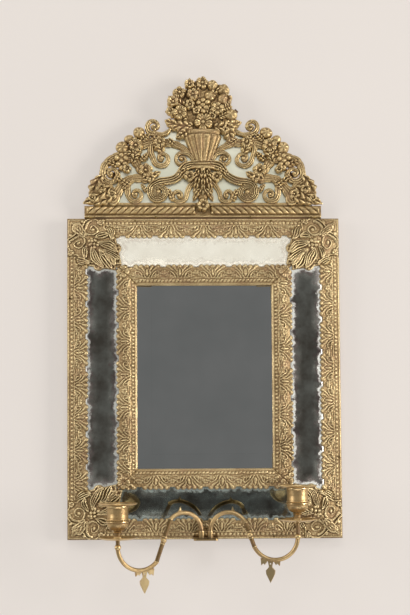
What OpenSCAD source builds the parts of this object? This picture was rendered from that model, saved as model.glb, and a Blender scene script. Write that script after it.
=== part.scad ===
// Cushion mirror with embossed brass borders, a pierced crest and two swinging candle arms.
// It hangs on a wall: the wall is the plane y = 0, the glass looks towards -y, and z is up.
// The origin is the middle of the back of the frame.

/* [Frame] */
// Width of the frame
frame_w = 400; // [360:1:480]
// Height of the frame, without the crest
frame_h = 470; // [430:1:560]
// Depth of the frame's outer side, from the wall
edge_d = 16; // [14:0.5:24]
// Slope of the cushion, from the outer side up to the inner border
slope = 18; // [12:0.5:20]
// Width of the outer border
outer_w = 31; // [26:0.5:36]
// Width of the side mirrors that shows between the borders
strip_w = 41.5; // [34:0.5:48]
// Width of the inner border
inner_w = 30; // [28:0.5:36]
// Width of the inner border's outer half, up to its crest
inner_rise_w = 16; // [13:0.5:18]
// Depth of the inner border's lip, from the wall
lip_d = 39; // [38:0.5:41]
// Thickness of the brass sheet
sheet_t = 0.8; // [0.6:0.1:1.2]

/* [Glass] */
// Thickness of the centre mirror
plate_t = 4; // [3:0.5:5]
// Thickness of the side mirrors
strip_t = 3; // [2:0.5:4]
// Width of the centre mirror that lies behind the lip, on each side
plate_lap = 5; // [3:0.5:6]
// Width of each side mirror that lies under a border
strip_lap = 5; // [3:0.5:6]
// Width of the bevel on the centre mirror
bevel_w = 13; // [8:0.5:16]
// Depth of the bevel at the edge of the centre mirror
bevel_t = 1; // [0.5:0.1:1.5]
// Gap between two side mirrors where they meet at a corner
mitre_gap = 1.2; // [0.6:0.1:2]

/* [Embossed borders] */
// Pitch of the scallops along a border's edge
scallop_pitch = 7.9; // [7:0.1:9]
// Radius of the bead moulding
bead_r = 2.3; // [1.5:0.1:3]
// Distance of the outer bead moulding from the frame's side
bead_in = 8; // [6:0.5:11]
// Width of the raised band of leaves
leaf_band_w = 15; // [11:0.5:16]
// Height of the raised band of leaves
leaf_band_h = 2.4; // [1.5:0.1:3]
// Length of a corner plate along the frame's side
corner_len = 56; // [50:1:62]
// Reach of a corner plate over the side mirrors
corner_reach = 81; // [76:1:86]
// Height of the relief on a corner plate
corner_relief = 4; // [3:0.5:5]

/* [Back] */
// Thickness of the back board
board_t = 5; // [4:0.5:7]
// Width of the rails left open behind, outside the back board
rail_back_w = 88; // [70:1:94]
// Thickness of the board behind the centre mirror
backing_t = 4; // [3:0.5:5]
// Width of the two battens that carry the crest
batten_w = 28; // [20:1:34]
// Thickness of the battens
batten_t = 4; // [3:0.5:5]
// Distance of each batten from the middle
batten_x = 105; // [90:1:125]
// Reach of the battens above and below the frame's top
batten_reach = 42; // [34:1:46]
// Width of the hanging plate
hanger_w = 46; // [40:1:56]
// Height of the hanging plate
hanger_h = 30; // [26:1:34]
// Thickness of the hanging plate
hanger_t = 2; // [1.5:0.1:2.5]
// Radius of the hanging plate's round hole
hanger_hole_r = 5; // [4:0.25:6]
// Width of the hanging plate's slot
hanger_slot_w = 5; // [4:0.25:6]
// Depth of the pocket behind the hanging plate
hanger_pocket = 7; // [5:0.5:9]

/* [Crest] */
// Width of the crest's base rail
crest_w = 350; // [320:1:360]
// Height of the crest above the frame
crest_h = 212; // [200:1:220]
// Height of the base rail
crest_rail_h = 20; // [17:0.5:22]
// Radius of the rope moulding
rope_r = 6.2; // [5:0.1:6.6]
// Number of rope turns on each half of the base rail
rope_turns = 16; // [10:1:20]
// Thickness of the wooden crest board
crest_board_t = 8; // [6:0.5:10]
// Thickness of the crest's mirror
crest_mirror_t = 2.5; // [2:0.5:3]
// Height of the crest's scrolls above its mirror
scroll_h = 6; // [4:0.5:8]
// Radius of the vase's rim
vase_r = 27; // [22:0.5:30]
// Radius of the vase's foot
vase_foot_r = 11; // [8:0.5:14]
// Number of flutes on the front of the vase
flutes = 9; // [5:2:13]

/* [Candle arms] */
// Length of each arm, from its pivot to the candle's axis
arm_reach = 126.5; // [118:0.5:132]
// Thickness of the arms
arm_t = 6; // [5:0.25:7]
// Radius of the arch next to the pivot
arch_r = 27.5; // [24:0.5:29]
// Radius of the bowl under the candle
bowl_r = 33; // [30:0.5:35]
// Radius of the pivot pins
pin_r = 2.2; // [1.8:0.1:2.6]
// Distance of each pivot from the middle
pivot_x = 6.2; // [5.5:0.1:8]
// Depth of the pivots, from the wall
pivot_d = 42; // [40:0.5:48]
// Height of the bracket's sockets
socket_h = 9; // [7:0.5:12]
// Angle of the left arm from the wall, as it hangs
left_angle = 22; // [18:0.5:40]
// Angle of the right arm from the wall, as it hangs
right_angle = 18.5; // [18:0.5:40]
// Height of the left arm's stem, from the bowl's centre to the drip pan
left_stem = 11; // [8:0.5:14]
// Height of the right arm's stem, from the bowl's centre to the drip pan
right_stem = 21.5; // [18:0.5:24]
// Drop of the left bowl's centre below the top of the bracket's sockets
left_drop = 17; // [14:0.5:20]
// Drop of the right bowl's centre below the top of the bracket's sockets
right_drop = 4.5; // [2:0.5:8]
// Width of the bracket
bracket_w = 35; // [32:0.5:42]
// Thickness of the bracket's plate
bracket_t = 3; // [2.5:0.25:4]

/* [Candle cups] */
// Radius of the drip pans
pan_r = 27.5; // [24:0.5:29]
// Height of the drip pans
pan_h = 3; // [2:0.25:4]
// Radius of the cup's body
cup_r = 15; // [14.5:0.25:17]
// Height of the cup above the drip pan
cup_h = 46; // [42:0.5:52]
// Radius of the candle socket
candle_r = 11; // [9.5:0.25:11.5]
// Radius of the drip ring's dish
ring_r = 27.5; // [24:0.5:29]
// Height of the drip ring's dish
ring_h = 4; // [3:0.25:5]
// Wall of the drip ring and its neck
ring_wall = 0.9; // [0.8:0.1:1.2]
// Depth of the drip ring's neck inside the cup
neck_h = 22; // [16:0.5:26]

/* [Hidden] */
$fn = 48;

// Clearances between pieces: a flat seat, a loose sliding neck and a turning pin
seat_gap = 0.2;
loose_gap = 0.3;
turn_gap = 0.05;

brass = "#b8975a";
aged_brass = "#8d7040";
wood = "#6b4a2f";
silver = "#9aa3a6";
steel = "#6f6a62";

band_w = outer_w + strip_w + inner_w;
open_w = frame_w - 2 * band_w;
open_h = frame_h - 2 * band_w;
top_z = frame_h / 2;
bottom_z = -frame_h / 2;
crest_u = outer_w + strip_w + inner_rise_w;
tall = 120;

// Depth of the cushion's slope at a distance u from the frame's side
function slope_d(u) = edge_d + u * tan(slope);
// Length along the slope that covers a distance u
function along(u) = u / cos(slope);

// A flat shape in x and z, as a plate between two depths from the wall
module front_plate(d0, d1) {
    translate([0, -d0, 0]) rotate([90, 0, 0]) linear_extrude(d1 - d0) children();
}

// Places a piece made for the top of the frame, with its side at z = 0, on any side
module on_side(side) {
    if (side == "top") translate([0, 0, top_z]) children();
    if (side == "bottom") translate([0, 0, bottom_z]) rotate([0, 180, 0]) children();
    if (side == "left") translate([-frame_w / 2, 0, 0]) rotate([0, -90, 0]) children();
    if (side == "right") translate([frame_w / 2, 0, 0]) rotate([0, 90, 0]) children();
}
function side_run(side) = side == "top" || side == "bottom" ? frame_w : frame_h;

// Runs a profile of distance and depth along one side
module run_profile(run) {
    mirror([0, 1, 0]) rotate([0, 90, 0]) linear_extrude(run, center = true) children();
}

// The mitred outline of one side, drawn in by a gap at each mitre
module mitre_outline(run, gap) {
    polygon([[-run / 2 + gap, 0], [run / 2 - gap, 0],
        [run / 2 - band_w - gap, -band_w], [-run / 2 + band_w + gap, -band_w]]);
}

module mitred(side, gap = 0) {
    on_side(side) intersection() {
        run_profile(side_run(side)) children();
        front_plate(-1, tall) mitre_outline(side_run(side), gap);
    }
}

// Moves a shape into the slope's own directions: along the slope, and out from it
module on_slope() {
    translate([0, edge_d]) rotate(slope) children();
}

// Wooden carcase
lip_over = 5;
rebate_gap = 0.5;
plate_d = lip_d - lip_over;
seat_u = band_w - plate_lap - rebate_gap;
wood_lip_u = band_w - sheet_t;
strip_lo = along(outer_w - strip_lap);
strip_hi = along(outer_w + strip_w + strip_lap);

module rail_profile() {
    difference() {
        polygon([[sheet_t, 0], [sheet_t, slope_d(sheet_t)], [crest_u, slope_d(crest_u)],
            [wood_lip_u, lip_d - sheet_t], [wood_lip_u, plate_d], [seat_u, plate_d],
            [seat_u, board_t], [rail_back_w, board_t], [rail_back_w, 0]]);
        on_slope() translate([strip_lo, -strip_t]) square([strip_hi - strip_lo, tall]);
    }
}

module frame_rail(side) {
    color(wood) difference() {
        mitred(side) rail_profile();
        nail_places() cylinder(h = nail_len, r = nail_r);
        if (side == "top") {
            for (x = [-batten_x, batten_x]) batten_shape(x, 0);
            batten_screw_holes(-1);
            hanger_recess();
            hanger_screw_holes();
        }
        if (side == "bottom") {
            bracket_plate(0);
            bracket_screw_holes();
        }
    }
}

// Back boards
module back_board() {
    gap = seat_gap;
    w = frame_w - 2 * rail_back_w - 2 * gap;
    h = frame_h - 2 * rail_back_w - 2 * gap;
    color(wood) difference() {
        front_plate(0, board_t) square([w, h], center = true);
        nail_places() cylinder(h = nail_len, r = nail_r);
    }
}

module mirror_backing() {
    w = open_w + 2 * plate_lap;
    h = open_h + 2 * plate_lap;
    color(wood) front_plate(plate_d - plate_t - backing_t, plate_d - plate_t)
        square([w, h], center = true);
}

// Small nails hold the back board to the rails
nail_r = 0.9;
nail_len = 14;
nail_count = 5;
nail_inset = 6;
module nail_places() {
    span_x = frame_w - 2 * (rail_back_w + nail_inset);
    span_z = frame_h - 2 * (rail_back_w + nail_inset);
    for (i = [0 : nail_count - 1]) {
        s = -0.5 + i / (nail_count - 1);
        for (side = [-1, 1]) {
            translate([span_x * s, 0, side * span_z / 2]) rotate([90, 0, 0]) children();
            if (i > 0 && i < nail_count - 1)
                translate([side * span_x / 2, 0, span_z * s]) rotate([90, 0, 0]) children();
        }
    }
}

module board_nails() {
    color(steel) nail_places() cylinder(h = nail_len, r = nail_r);
}

// Mirrors
module centre_mirror() {
    w = open_w + 2 * plate_lap;
    h = open_h + 2 * plate_lap;
    cut = atan(bevel_t / bevel_w);
    color(silver) difference() {
        front_plate(plate_d - plate_t, plate_d) square([w, h], center = true);
        for (turn = [0, 90, 180, 270]) rotate([0, turn, 0])
            translate([0, -plate_d + bevel_t, (turn % 180 == 0 ? h : w) / 2])
                rotate([cut, 0, 0]) translate([-frame_h, -tall, -2 * bevel_w])
                    cube([2 * frame_h, tall, 4 * bevel_w]);
    }
}

module side_mirror(side) {
    color(silver) mitred(side, mitre_gap) on_slope()
        translate([strip_lo + seat_gap, -strip_t])
            square([strip_hi - strip_lo - 2 * seat_gap, strip_t]);
}

// Embossed brass borders: a scalloped edge, with a deeper notch after each group of lobes
scallop_r = 0.53 * scallop_pitch;
lobes_in_group = 6;
deep_notch = 4;
// The borders were cut from a long strip: where the middle of a group lies along each side
groups = [["top", 0, 12], ["bottom", -23.7, -23.7], ["left", -11, 3], ["right", -13, 8]];
function group_at(side, row) = [for (g = groups) if (g[0] == side) g[row]][0];
// Distance of the band of leaves from the outer border's notches, and past the inner one's crest
band_inset = 4;
band_past_crest = 1;

module raised_band(at, w, h) {
    r = (w * w / 4 + h * h) / (2 * h);
    intersection() {
        translate([at, sheet_t + h - r]) circle(r, $fn = 96);
        translate([at - w, sheet_t / 2]) square([2 * w, tall]);
    }
}

// Sheet on the slope, from one distance to another, as two rows of points
lift = sheet_t / cos(slope);
function under(u) = [u, slope_d(u)];
function over(u) = [u, slope_d(u) + lift];

module outer_border_profile() {
    end_u = outer_w + scallop_r;
    polygon([[0, 0], [sheet_t, 0], under(sheet_t), under(end_u), over(end_u),
        over(2 * sheet_t), [sheet_t / 2, edge_d + lift / 2], [0, edge_d - sheet_t / 2]]);
    on_slope() {
        intersection() {
            translate([along(bead_in), sheet_t]) circle(bead_r);
            translate([0, sheet_t / 2]) square([tall, tall]);
        }
        raised_band(along(outer_w - band_inset) - leaf_band_w / 2, leaf_band_w, leaf_band_h);
    }
}

module scallops(half_run, at, out, middle) {
    count = ceil(2 * half_run / scallop_pitch);
    for (i = [-count : count]) {
        x = middle + i * scallop_pitch;
        notch = (abs(i) + lobes_in_group / 2) % lobes_in_group == 0 ? deep_notch : 0;
        if (abs(x) <= half_run - scallop_r)
            translate([x, at - out * notch]) circle(scallop_r);
    }
}

module outer_border(side) {
    run = side_run(side);
    color(brass) difference() {
        intersection() {
            mitred(side) outer_border_profile();
            on_side(side) front_plate(-1, tall) {
                translate([-run / 2, -outer_w + scallop_r]) square([run, outer_w]);
                scallops(run / 2 - corner_reach + scallop_r, -outer_w + scallop_r, -1,
                    group_at(side, 1));
            }
        }
        for (sx = [-1, 1], sz = [-1, 1]) front_plate(-2, tall) corner_outline(sx, sz, seat_gap);
        if (side == "bottom") bracket_plate(seat_gap);
        if (side == "top") for (x = [-batten_x, batten_x]) batten_shape(x, seat_gap);
    }
}

// The inner border rises on the slope to its crest, then falls to the lip round the glass
module inner_border_profile() {
    start_u = outer_w + strip_w - scallop_r;
    bead_at = (crest_u + wood_lip_u) / 2;
    polygon([under(start_u), under(crest_u), [wood_lip_u, lip_d - sheet_t],
        [wood_lip_u, plate_d + seat_gap], [band_w, plate_d + seat_gap], [band_w, lip_d],
        over(crest_u), over(start_u)]);
    on_slope() raised_band(along(crest_u) - leaf_band_w / 2 + band_past_crest, leaf_band_w, leaf_band_h);
    difference() {
        translate([bead_at, (slope_d(crest_u) + lip_d) / 2]) circle(bead_r);
        polygon([[crest_u, slope_d(crest_u) + sheet_t / 2], [wood_lip_u, lip_d - sheet_t / 2],
            [wood_lip_u, 0], [crest_u, 0]]);
    }
}

module inner_border(side) {
    run = side_run(side);
    at = -outer_w - strip_w;
    color(brass) intersection() {
        mitred(side) inner_border_profile();
        on_side(side) front_plate(-1, tall) {
            translate([-run / 2, -band_w]) square([run, inner_w - scallop_r]);
            scallops(run / 2 + at, at - scallop_r, 1, group_at(side, 2));
        }
    }
}

// Corner plates: sheets folded over the hips of the cushion, with a scroll-cut outline
corner_foot = 14;
corner_dip = 9;
corner_lobe_r = 8;
module corner_outline(sx, sz, grow = 0) {
    far = corner_reach + grow;
    len = corner_len + grow;
    lobe_r = corner_lobe_r + grow;
    inner = outer_w + strip_w;
    mirror([sx > 0 ? 1 : 0, 0]) mirror([0, sz < 0 ? 1 : 0])
        translate([-frame_w / 2, top_z]) {
            polygon([[-1, 1], [-1, -len], [corner_foot, -len], [outer_w, -far + corner_dip],
                [inner, -far], [inner, -inner], [far, -inner], [far - corner_dip, -outer_w],
                [len, -corner_foot], [len, 1]]);
            for (a = [[outer_w - lobe_r - 1, -far + 2 * corner_dip],
                    [outer_w + 2 * lobe_r, -far + lobe_r + 1]]) {
                translate(a) circle(lobe_r);
                translate([-a[1], -a[0]]) circle(lobe_r);
            }
        }
}

// The solid under the cushion's slope, raised by an offset, and hipped at the corners
module cushion(lift, out) {
    d_edge = edge_d + lift / cos(slope);
    module half(run, w) {
        mirror([0, 1, 0]) rotate([0, 90, 0]) linear_extrude(run, center = true)
            polygon([[out, -1], [out, d_edge + out * tan(slope)],
                [crest_u, d_edge + crest_u * tan(slope)],
                [w - crest_u, d_edge + crest_u * tan(slope)],
                [w - out, d_edge + out * tan(slope)], [w - out, -1]]);
    }
    intersection() {
        translate([0, 0, top_z]) half(frame_w - 2 * out, frame_h);
        translate([-frame_w / 2, 0, 0]) rotate([0, -90, 0]) half(frame_h - 2 * out, frame_w);
    }
}

module corner_plate(sx, sz) {
    color(brass) difference() {
        intersection() {
            union() {
                cushion(sheet_t, 0);
                corner_motifs(sx, sz);
            }
            front_plate(0, tall) corner_outline(sx, sz);
        }
        cushion(0, sheet_t);
    }
}

// Relief on a corner plate: a star flower, two rolled scrolls, and leaves to the inner corner
module corner_motifs(sx, sz) {
    mirror([sx > 0 ? 1 : 0, 0, 0]) mirror([0, 0, sz < 0 ? 1 : 0])
        translate([-frame_w / 2, 0, top_z]) {
            // On the mitre: distance from both sides, and radius
            for (m = [[9, 7], [28, 9], [56, 11]]) dome(m[0], -m[0], m[1]);
            for (p = [[21, 40], [40, 21]]) scroll_ring(p[0], -p[1], 10.5);
            for (p = [[44, 62], [62, 44]]) dome(p[0], -p[1], 9);
        }
}

// A low dome standing on the slope at a place given from the corner
module dome(x, z, r) {
    base = slope_d(min(x, -z)) + sheet_t;
    ball = (r * r + corner_relief * corner_relief) / (2 * corner_relief);
    translate([x, -base - corner_relief * 0.7 + ball, z]) sphere(ball, $fn = 64);
}

module scroll_ring(x, z, r) {
    base = slope_d(min(x, -z)) + sheet_t;
    roll_r = 2.5;
    boss_h = 4;
    translate([x, -base, z]) rotate([90, 0, 0])
        rotate_extrude() translate([r - roll_r, 0]) circle(roll_r, $fn = 24);
    translate([x, 2 - base, z]) rotate([90, 0, 0])
        cylinder(h = 2 + boss_h, r1 = 1.1 * boss_h, r2 = 0.55 * boss_h);
}

// Round-headed nails on the borders
head_r = 1.8;
head_inset = 3.6;
module border_nails() {
    color(aged_brass) {
        for (side = ["top", "bottom", "left", "right"], s = [-0.25, 0.25])
            on_side(side) translate([side_run(side) * s, 0, 0]) slope_nail(head_inset);
    }
}

module slope_nail(u) {
    translate([0, -slope_d(u) - sheet_t / cos(slope), -u]) rotate([90 - slope, 0, 0]) {
        difference() {
            sphere(head_r, $fn = 24);
            translate([0, 0, -head_r]) cube(2 * head_r, center = true);
        }
    }
}

// Crest
crest_back = batten_t + seat_gap;
crest_mirror_d = crest_back + crest_board_t;
relief_d = crest_mirror_d + crest_mirror_t;
rail_end_w = 12;
rail_front_t = 2;
rail_front_d = crest_mirror_d + rail_front_t;
// The crest is drawn at this size, and follows its own width and height from there
drawn_w = 350;
drawn_h = 212;
function drawn(p) = [p[0] * crest_w / drawn_w, p[1] * crest_h / drawn_h];
// Half outline of the crest board, from the middle outwards
crest_side = [[20, 195], [37, 182], [41, 157], [46, 136], [66, 125], [84, 119],
    [97, 106], [112, 93], [117, 81], [132, 70], [140, 47], [152, 28]];

module crest_outline(inset) {
    z0 = top_z;
    right = [for (p = crest_side) drawn(p) + [-inset, z0 - inset]];
    left = [for (i = [len(right) - 1 : -1 : 0]) [-right[i][0], right[i][1]]];
    end = crest_w / 2 - rail_end_w - inset;
    polygon(concat(left, right, [[end, z0 + crest_rail_h], [end, z0 + seat_gap + inset],
        [-end, z0 + seat_gap + inset], [-end, z0 + crest_rail_h]]));
}

module crest_board() {
    color(wood) difference() {
        front_plate(crest_back, crest_back + crest_board_t) crest_outline(0);
        batten_screw_holes(1);
    }
}

module crest_mirror() {
    color(silver) front_plate(crest_mirror_d, crest_mirror_d + crest_mirror_t)
        intersection() {
            crest_outline(3);
            translate([-crest_w, top_z + crest_rail_h]) square([2 * crest_w, crest_h]);
        }
}

// Base rail: a flat brass strip with a rope moulding, twisted outwards from the middle
rope_start = 11;
rope_top = 2.8;
rope_lean = 38;
module crest_rail() {
    rope_z = top_z + crest_rail_h - rope_top - rope_r;
    run = crest_w / 2 - rope_start;
    pitch = run / rope_turns;
    color(brass) {
        front_plate(crest_back, crest_mirror_d) crest_rail_ends();
        front_plate(crest_mirror_d, rail_front_d)
            translate([-crest_w / 2, top_z + seat_gap]) square([crest_w, crest_rail_h - seat_gap]);
        for (sx = [-1, 1]) intersection() {
            translate([sx * (rope_start + run / 2), -rail_front_d, rope_z]) rotate([0, 90, 0]) union() {
                cylinder(h = run, r = rope_r * 0.6, center = true);
                intersection() {
                    for (i = [0 : rope_turns - 1])
                        translate([0, 0, (i + 0.5) * pitch - run / 2]) rotate([0, -sx * rope_lean, 0])
                            translate([rope_r * 1.5, 0, 0]) rotate([0, -90, 0])
                                cylinder(h = rope_r * 3, r = pitch * 0.42, $fn = 16);
                    cylinder(h = run, r = rope_r, center = true);
                }
            }
            front_plate(crest_mirror_d + 1, tall) translate([-crest_w / 2, top_z])
                square([crest_w, crest_rail_h]);
        }
    }
}

module crest_rail_ends() {
    w = rail_end_w - seat_gap;
    for (sx = [-1, 1]) translate([sx * (crest_w / 2 - rail_end_w / 2), top_z + crest_rail_h / 2])
        square([w, crest_rail_h - 2 * seat_gap], center = true);
}

// Joins a row of rings, each a closed loop of as many points, into one solid
module skin(rings) {
    per = len(rings[0]);
    last = len(rings) - 1;
    walls = [for (i = [0 : last - 1], k = [0 : per - 1])
        let (a = i * per + k, b = i * per + (k + 1) % per, c = a + per, d = b + per)
            each [[a, b, d], [a, d, c]]];
    ends = [[for (k = [per - 1 : -1 : 0]) k], [for (k = [0 : per - 1]) last * per + k]];
    polyhedron([for (ring = rings) each ring], concat(walls, ends));
}

// Sections across a ridge: half-widths from -1 to 1, and heights from 0 to 1
round_section = [[-1, 0.15], [-0.55, 0.9], [0.55, 0.9], [1, 0.15]];
sharp_section = [[-1, 0.2], [0, 1], [1, 0.2]];
strap_section = [[-1, 0], [-0.85, 0.95], [-0.5, 0.45], [-0.25, 0.55], [0, 0.95], [0.25, 0.55],
    [0.5, 0.45], [0.85, 0.95], [1, 0]];

// A point of the crest's plane, raised off the mirror
function raised(p, h) = [p[0], -relief_d - h, p[1] + top_z];

// A ridge along a path, with a width and a height for each point of it
relief_base = 1;
module ridge(path, widths, heights, section = round_section) {
    last = len(path) - 1;
    skin([for (i = [0 : last])
        let (way = path[min(i + 1, last)] - path[max(i - 1, 0)],
            across = [-way[1], way[0]] / norm(way) * widths[i] / 2)
        concat([for (q = section)
                raised(drawn(path[i] + across * q[0]), relief_base + heights[i] * q[1])],
            [raised(drawn(path[i] + across), 0), raised(drawn(path[i] - across), 0)])]);
}
function steady(from, to, last) = [for (i = [0 : last]) from + (to - from) * i / last];

module band(path, w0, w1, h0, h1, section = round_section) {
    last = len(path) - 1;
    ridge(path, steady(w0, w1, last), steady(h0, h1, last), section);
}

// A leaf swells from its root and comes to a point, turning as it goes
leaf_steps = 4;
module leaf(root, angle, long, w, h, bend = 0) {
    swell = [for (i = [0 : leaf_steps]) 0.1 + 0.9 * sin(180 * pow(i / leaf_steps, 0.75))];
    path = [for (i = [0 : leaf_steps]) let (t = i / leaf_steps)
        root + long * t * [cos(angle + bend * t), sin(angle + bend * t)]];
    ridge(path, w * swell, h * swell, sharp_section);
}

// A spiral that winds in to its centre, after a curved approach
function curve(p, t) = pow(1 - t, 3) * p[0] + 3 * t * pow(1 - t, 2) * p[1]
    + 3 * t * t * (1 - t) * p[2] + pow(t, 3) * p[3];
function approach(p, steps = 4) = [for (i = [0 : steps]) curve(p, i / steps)];
function spiral(c, r, from, turn) =
    let (steps = ceil(abs(turn) / (r < 14 ? 60 : 43)))
    [for (i = [1 : steps]) let (t = i / steps)
        c + r * (1 - 0.72 * t) * [cos(from + turn * t), sin(from + turn * t)]];

// The coil starts a little before the end of the band that leads into it
module volute(p, c, r, from, turn, w0, w1, h, section = round_section) {
    lap = turn / 40;
    band(approach(p), w0, w1, h, h, section);
    coil = concat([c + r * [cos(from - lap), sin(from - lap)]], spiral(c, r, from, turn));
    band(coil, w1, w1 * 0.45, h, h * 0.8, section);
    knob(c, r * 0.3, h);
}

// A flower: rows of radius, height, and depth of the petals
flower_rows = [[1, 0, 0.07], [0.8, 0.95, 0.08], [0.4, 0.62, 0], [0.2, 1.05, 0]];
module flower(at, r, petals, h) {
    per = 2 * petals;
    skin([for (row = flower_rows) [for (k = [0 : per - 1])
        let (a = -360 * k / per, q = r * row[0] * (1 + row[2] * cos(petals * a)))
        raised(drawn(at + q * [cos(a), sin(a)]), (relief_base + h) * row[1])]]);
}

// A plain round knob: a fruit, a grape or the eye of a scroll
module knob(at, r, h) {
    sides = r > 8 ? 10 : 6;
    wide = r * crest_h / drawn_h;
    translate(raised(drawn(at), 0)) rotate([90, 0, 0]) hull() {
        cylinder(h = 0.6 * (relief_base + h), r = wide, $fn = sides);
        cylinder(h = relief_base + h, r = wide * 0.5, $fn = sides);
    }
}

module grapes(at, r, h) {
    knob(at, r * 2, h * 0.6);
    for (p = [[0, 1.6], [-1.5, 0.4], [1.5, 0.3], [-0.8, -1.5], [0.9, -1.6]])
        knob(at + p * r, r, h);
}

// The fluted vase, in half round
vase_foot_z = 0.35 * crest_h;
vase_rim_z = 0.62 * crest_h;
vase_front = 12;
module vase() {
    tall_z = vase_rim_z - vase_foot_z;
    slim = vase_foot_r * 0.8;
    // Each row: height, radius, and depth of the flutes
    rows = [[0, vase_foot_r + 5, 0], [0.06, vase_foot_r + 5, 0], [0.08, vase_foot_r, 0],
        [0.15, vase_foot_r, 0], [0.17, slim, 0.02], [0.4, slim + (vase_r - slim) * 0.38, 0.07],
        [0.65, slim + (vase_r - slim) * 0.66, 0.07], [0.86, vase_r * 0.86, 0.05],
        [0.87, vase_r, 0], [1, vase_r, 0]];
    steps = 2 * flutes;
    skin([for (row = rows) concat(
        [for (k = [0 : steps]) let (a = 180 * k / steps,
                q = row[1] * (1 + row[2] * (k % 2 == 0 ? -1 : 1)))
            raised([q * cos(a), vase_foot_z + tall_z * row[0]],
                relief_base + vase_front * row[1] / vase_r * sin(a))],
        [raised([-row[1], vase_foot_z + tall_z * row[0]], 0),
            raised([row[1], vase_foot_z + tall_z * row[0]], 0)])]);
}

module crest_half() {
    s = scroll_h;
    volute([[8, 80], [34, 80], [38, 56], [65, 54]], [65, 40], 14, 90, -516, 16, 12, s,
        strap_section);
    volute([[12, 80], [14, 96], [22, 99], [31, 98.5]], [31, 88.5], 10, 90, -420, 8, 7, s * 0.8);
    volute([[70, 118], [80, 114], [78, 100], [73, 90]], [60, 90], 13, 0, -420, 10, 9, s * 0.8);
    volute([[46, 136], [54, 124], [64, 124], [72, 127]], [72, 138], 11, 270, 420, 6, 9.5, s * 0.8);
    volute([[116, 92], [130, 94], [146, 88], [148, 67]], [135, 67], 13, 0, -420, 14, 10, s * 0.8);
    volute([[90, 62], [106, 66], [114, 54], [110.5, 36]], [99, 36], 11.5, 0, -420, 10, 9, s * 0.8);
    volute([[10, 58], [16, 54], [22, 46], [25, 35]], [36, 35], 11, 180, 420, 9, 8, s * 0.7);
    band(approach([[20, 98], [34, 114], [52, 114], [70, 114]]), 8, 15, s * 0.7, s);
    band(approach([[64, 112], [84, 120], [92, 106], [108, 102]]), 15, 14, s, s * 0.7);
    band(approach([[84, 66], [100, 80], [100, 98], [120, 88]]), 12, 15, s * 0.8, s);
    band(approach([[86, 58], [108, 66], [120, 54], [132, 28]]), 11, 16, s * 0.7, s);
    band(approach([[130, 30], [134, 44], [142, 52], [150, 56]]), 14, 12, s * 0.7, s * 0.7);
    leaf([62, 98], 62, 28, 20, s);
    leaf([88, 60], 158, 26, 15, s);
    leaf([104, 84], 118, 26, 15, s);
    leaf([148, 62], -64, 38, 20, s, -10);
    leaf([136, 46], -30, 44, 21, s, 6);
    leaf([126, 34], -14, 38, 18, s);
    leaf([46, 26], 66, 20, 11, s * 0.8);
    flower([99, 109], 12, 6, s);
    flower([84, 72], 11, 6, s);
    flower([65, 115], 10, 5, s);
    flower([20, 63], 9, 5, s);
    flower([150, 44], 9, 5, s * 0.8);
    grapes([120, 87], 5, s);
    knob([94, 128], 9.5, s + 3);
    knob([119, 106], 10, s + 2);
    knob([109, 118], 7, s);
}

// The bunch of flowers, wider than high, standing in the vase
module bouquet() {
    s = scroll_h + 3;
    for (p = [[0, 202, 10], [-20, 201, 7.5], [15, 199, 7.5], [31, 192, 10], [-35, 186, 10],
            [-44, 172, 10], [43, 176, 11], [23, 162, 11], [-34, 156, 12], [42, 152, 11],
            [1, 143, 14], [-14, 184, 10], [12, 182, 10]])
        flower([p[0], p[1]], p[2], p[2] > 9 ? 6 : 5, s);
    grapes([1, 167], 5, s);
    leaf([-14, 136], 165, 42, 24, s);
    leaf([-22, 148], 162, 36, 20, s);
    leaf([16, 136], 12, 42, 24, s);
    leaf([32, 142], -72, 34, 24, s);
    leaf([26, 164], 22, 30, 20, s);
    leaf([-22, 170], 150, 32, 20, s);
    band([[0, 126], [0, 150], [0, 180], [0, 198]], 50, 40, 2, 2);
    band([[-42, 160], [0, 160], [42, 160]], 40, 40, 2, 2);
}

module crest_drop() {
    s = scroll_h;
    band([[0, 16], [0, 36], [0, 58], [0, 78]], 12, 22, s * 0.8, s);
    for (sx = [-1, 1]) {
        leaf([4 * sx, 64], -90 + 10 * sx, 34, 10, s + 2);
        leaf([3 * sx, 40], -90 + 30 * sx, 20, 10, s);
    }
    flower([0, 20], 10, 6, s);
}

// A strip along the foot of the relief holds its pieces together
relief_foot_in = 25;
relief_foot_h = 4;
module crest_relief() {
    color(brass) {
        crest_half();
        mirror([1, 0, 0]) crest_half();
        vase();
        bouquet();
        crest_drop();
        front_plate(relief_d, relief_d + relief_base)
            translate([relief_foot_in - crest_w / 2, crest_rail_h + top_z])
                square([crest_w - 2 * relief_foot_in, relief_foot_h]);
    }
}

crest_nail_x = [crest_w * 0.2, crest_w / 2 - 15];
crest_nail_z = 2.4;
module crest_nails() {
    color(aged_brass) for (sx = [-1, 1], x = crest_nail_x)
        translate([sx * x, -rail_front_d, top_z + crest_nail_z]) rotate([90, 0, 0])
            difference() {
                sphere(head_r, $fn = 24);
                translate([0, 0, -head_r]) cube(2 * head_r, center = true);
            }
}

// A slat nailed behind the crest at an angle, its end showing beside the flowers
brace_w = 6;
brace_len = 62;
module crest_brace() {
    foot = drawn([30, 145]);
    color(wood) translate([foot[0], -crest_back + seat_gap, top_z + foot[1]]) rotate([0, 45, 0])
        translate([-brace_w / 2, 0, -brace_len / 2]) cube([brace_w, batten_t - 1, brace_len]);
}

// Battens join the crest to the frame, let into the back of the top rail
module batten_shape(x, grow) {
    translate([x - batten_w / 2 - grow, -batten_t - grow, top_z - batten_reach - grow])
        cube([batten_w + 2 * grow, batten_t + grow, 2 * batten_reach + 2 * grow]);
}

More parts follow.
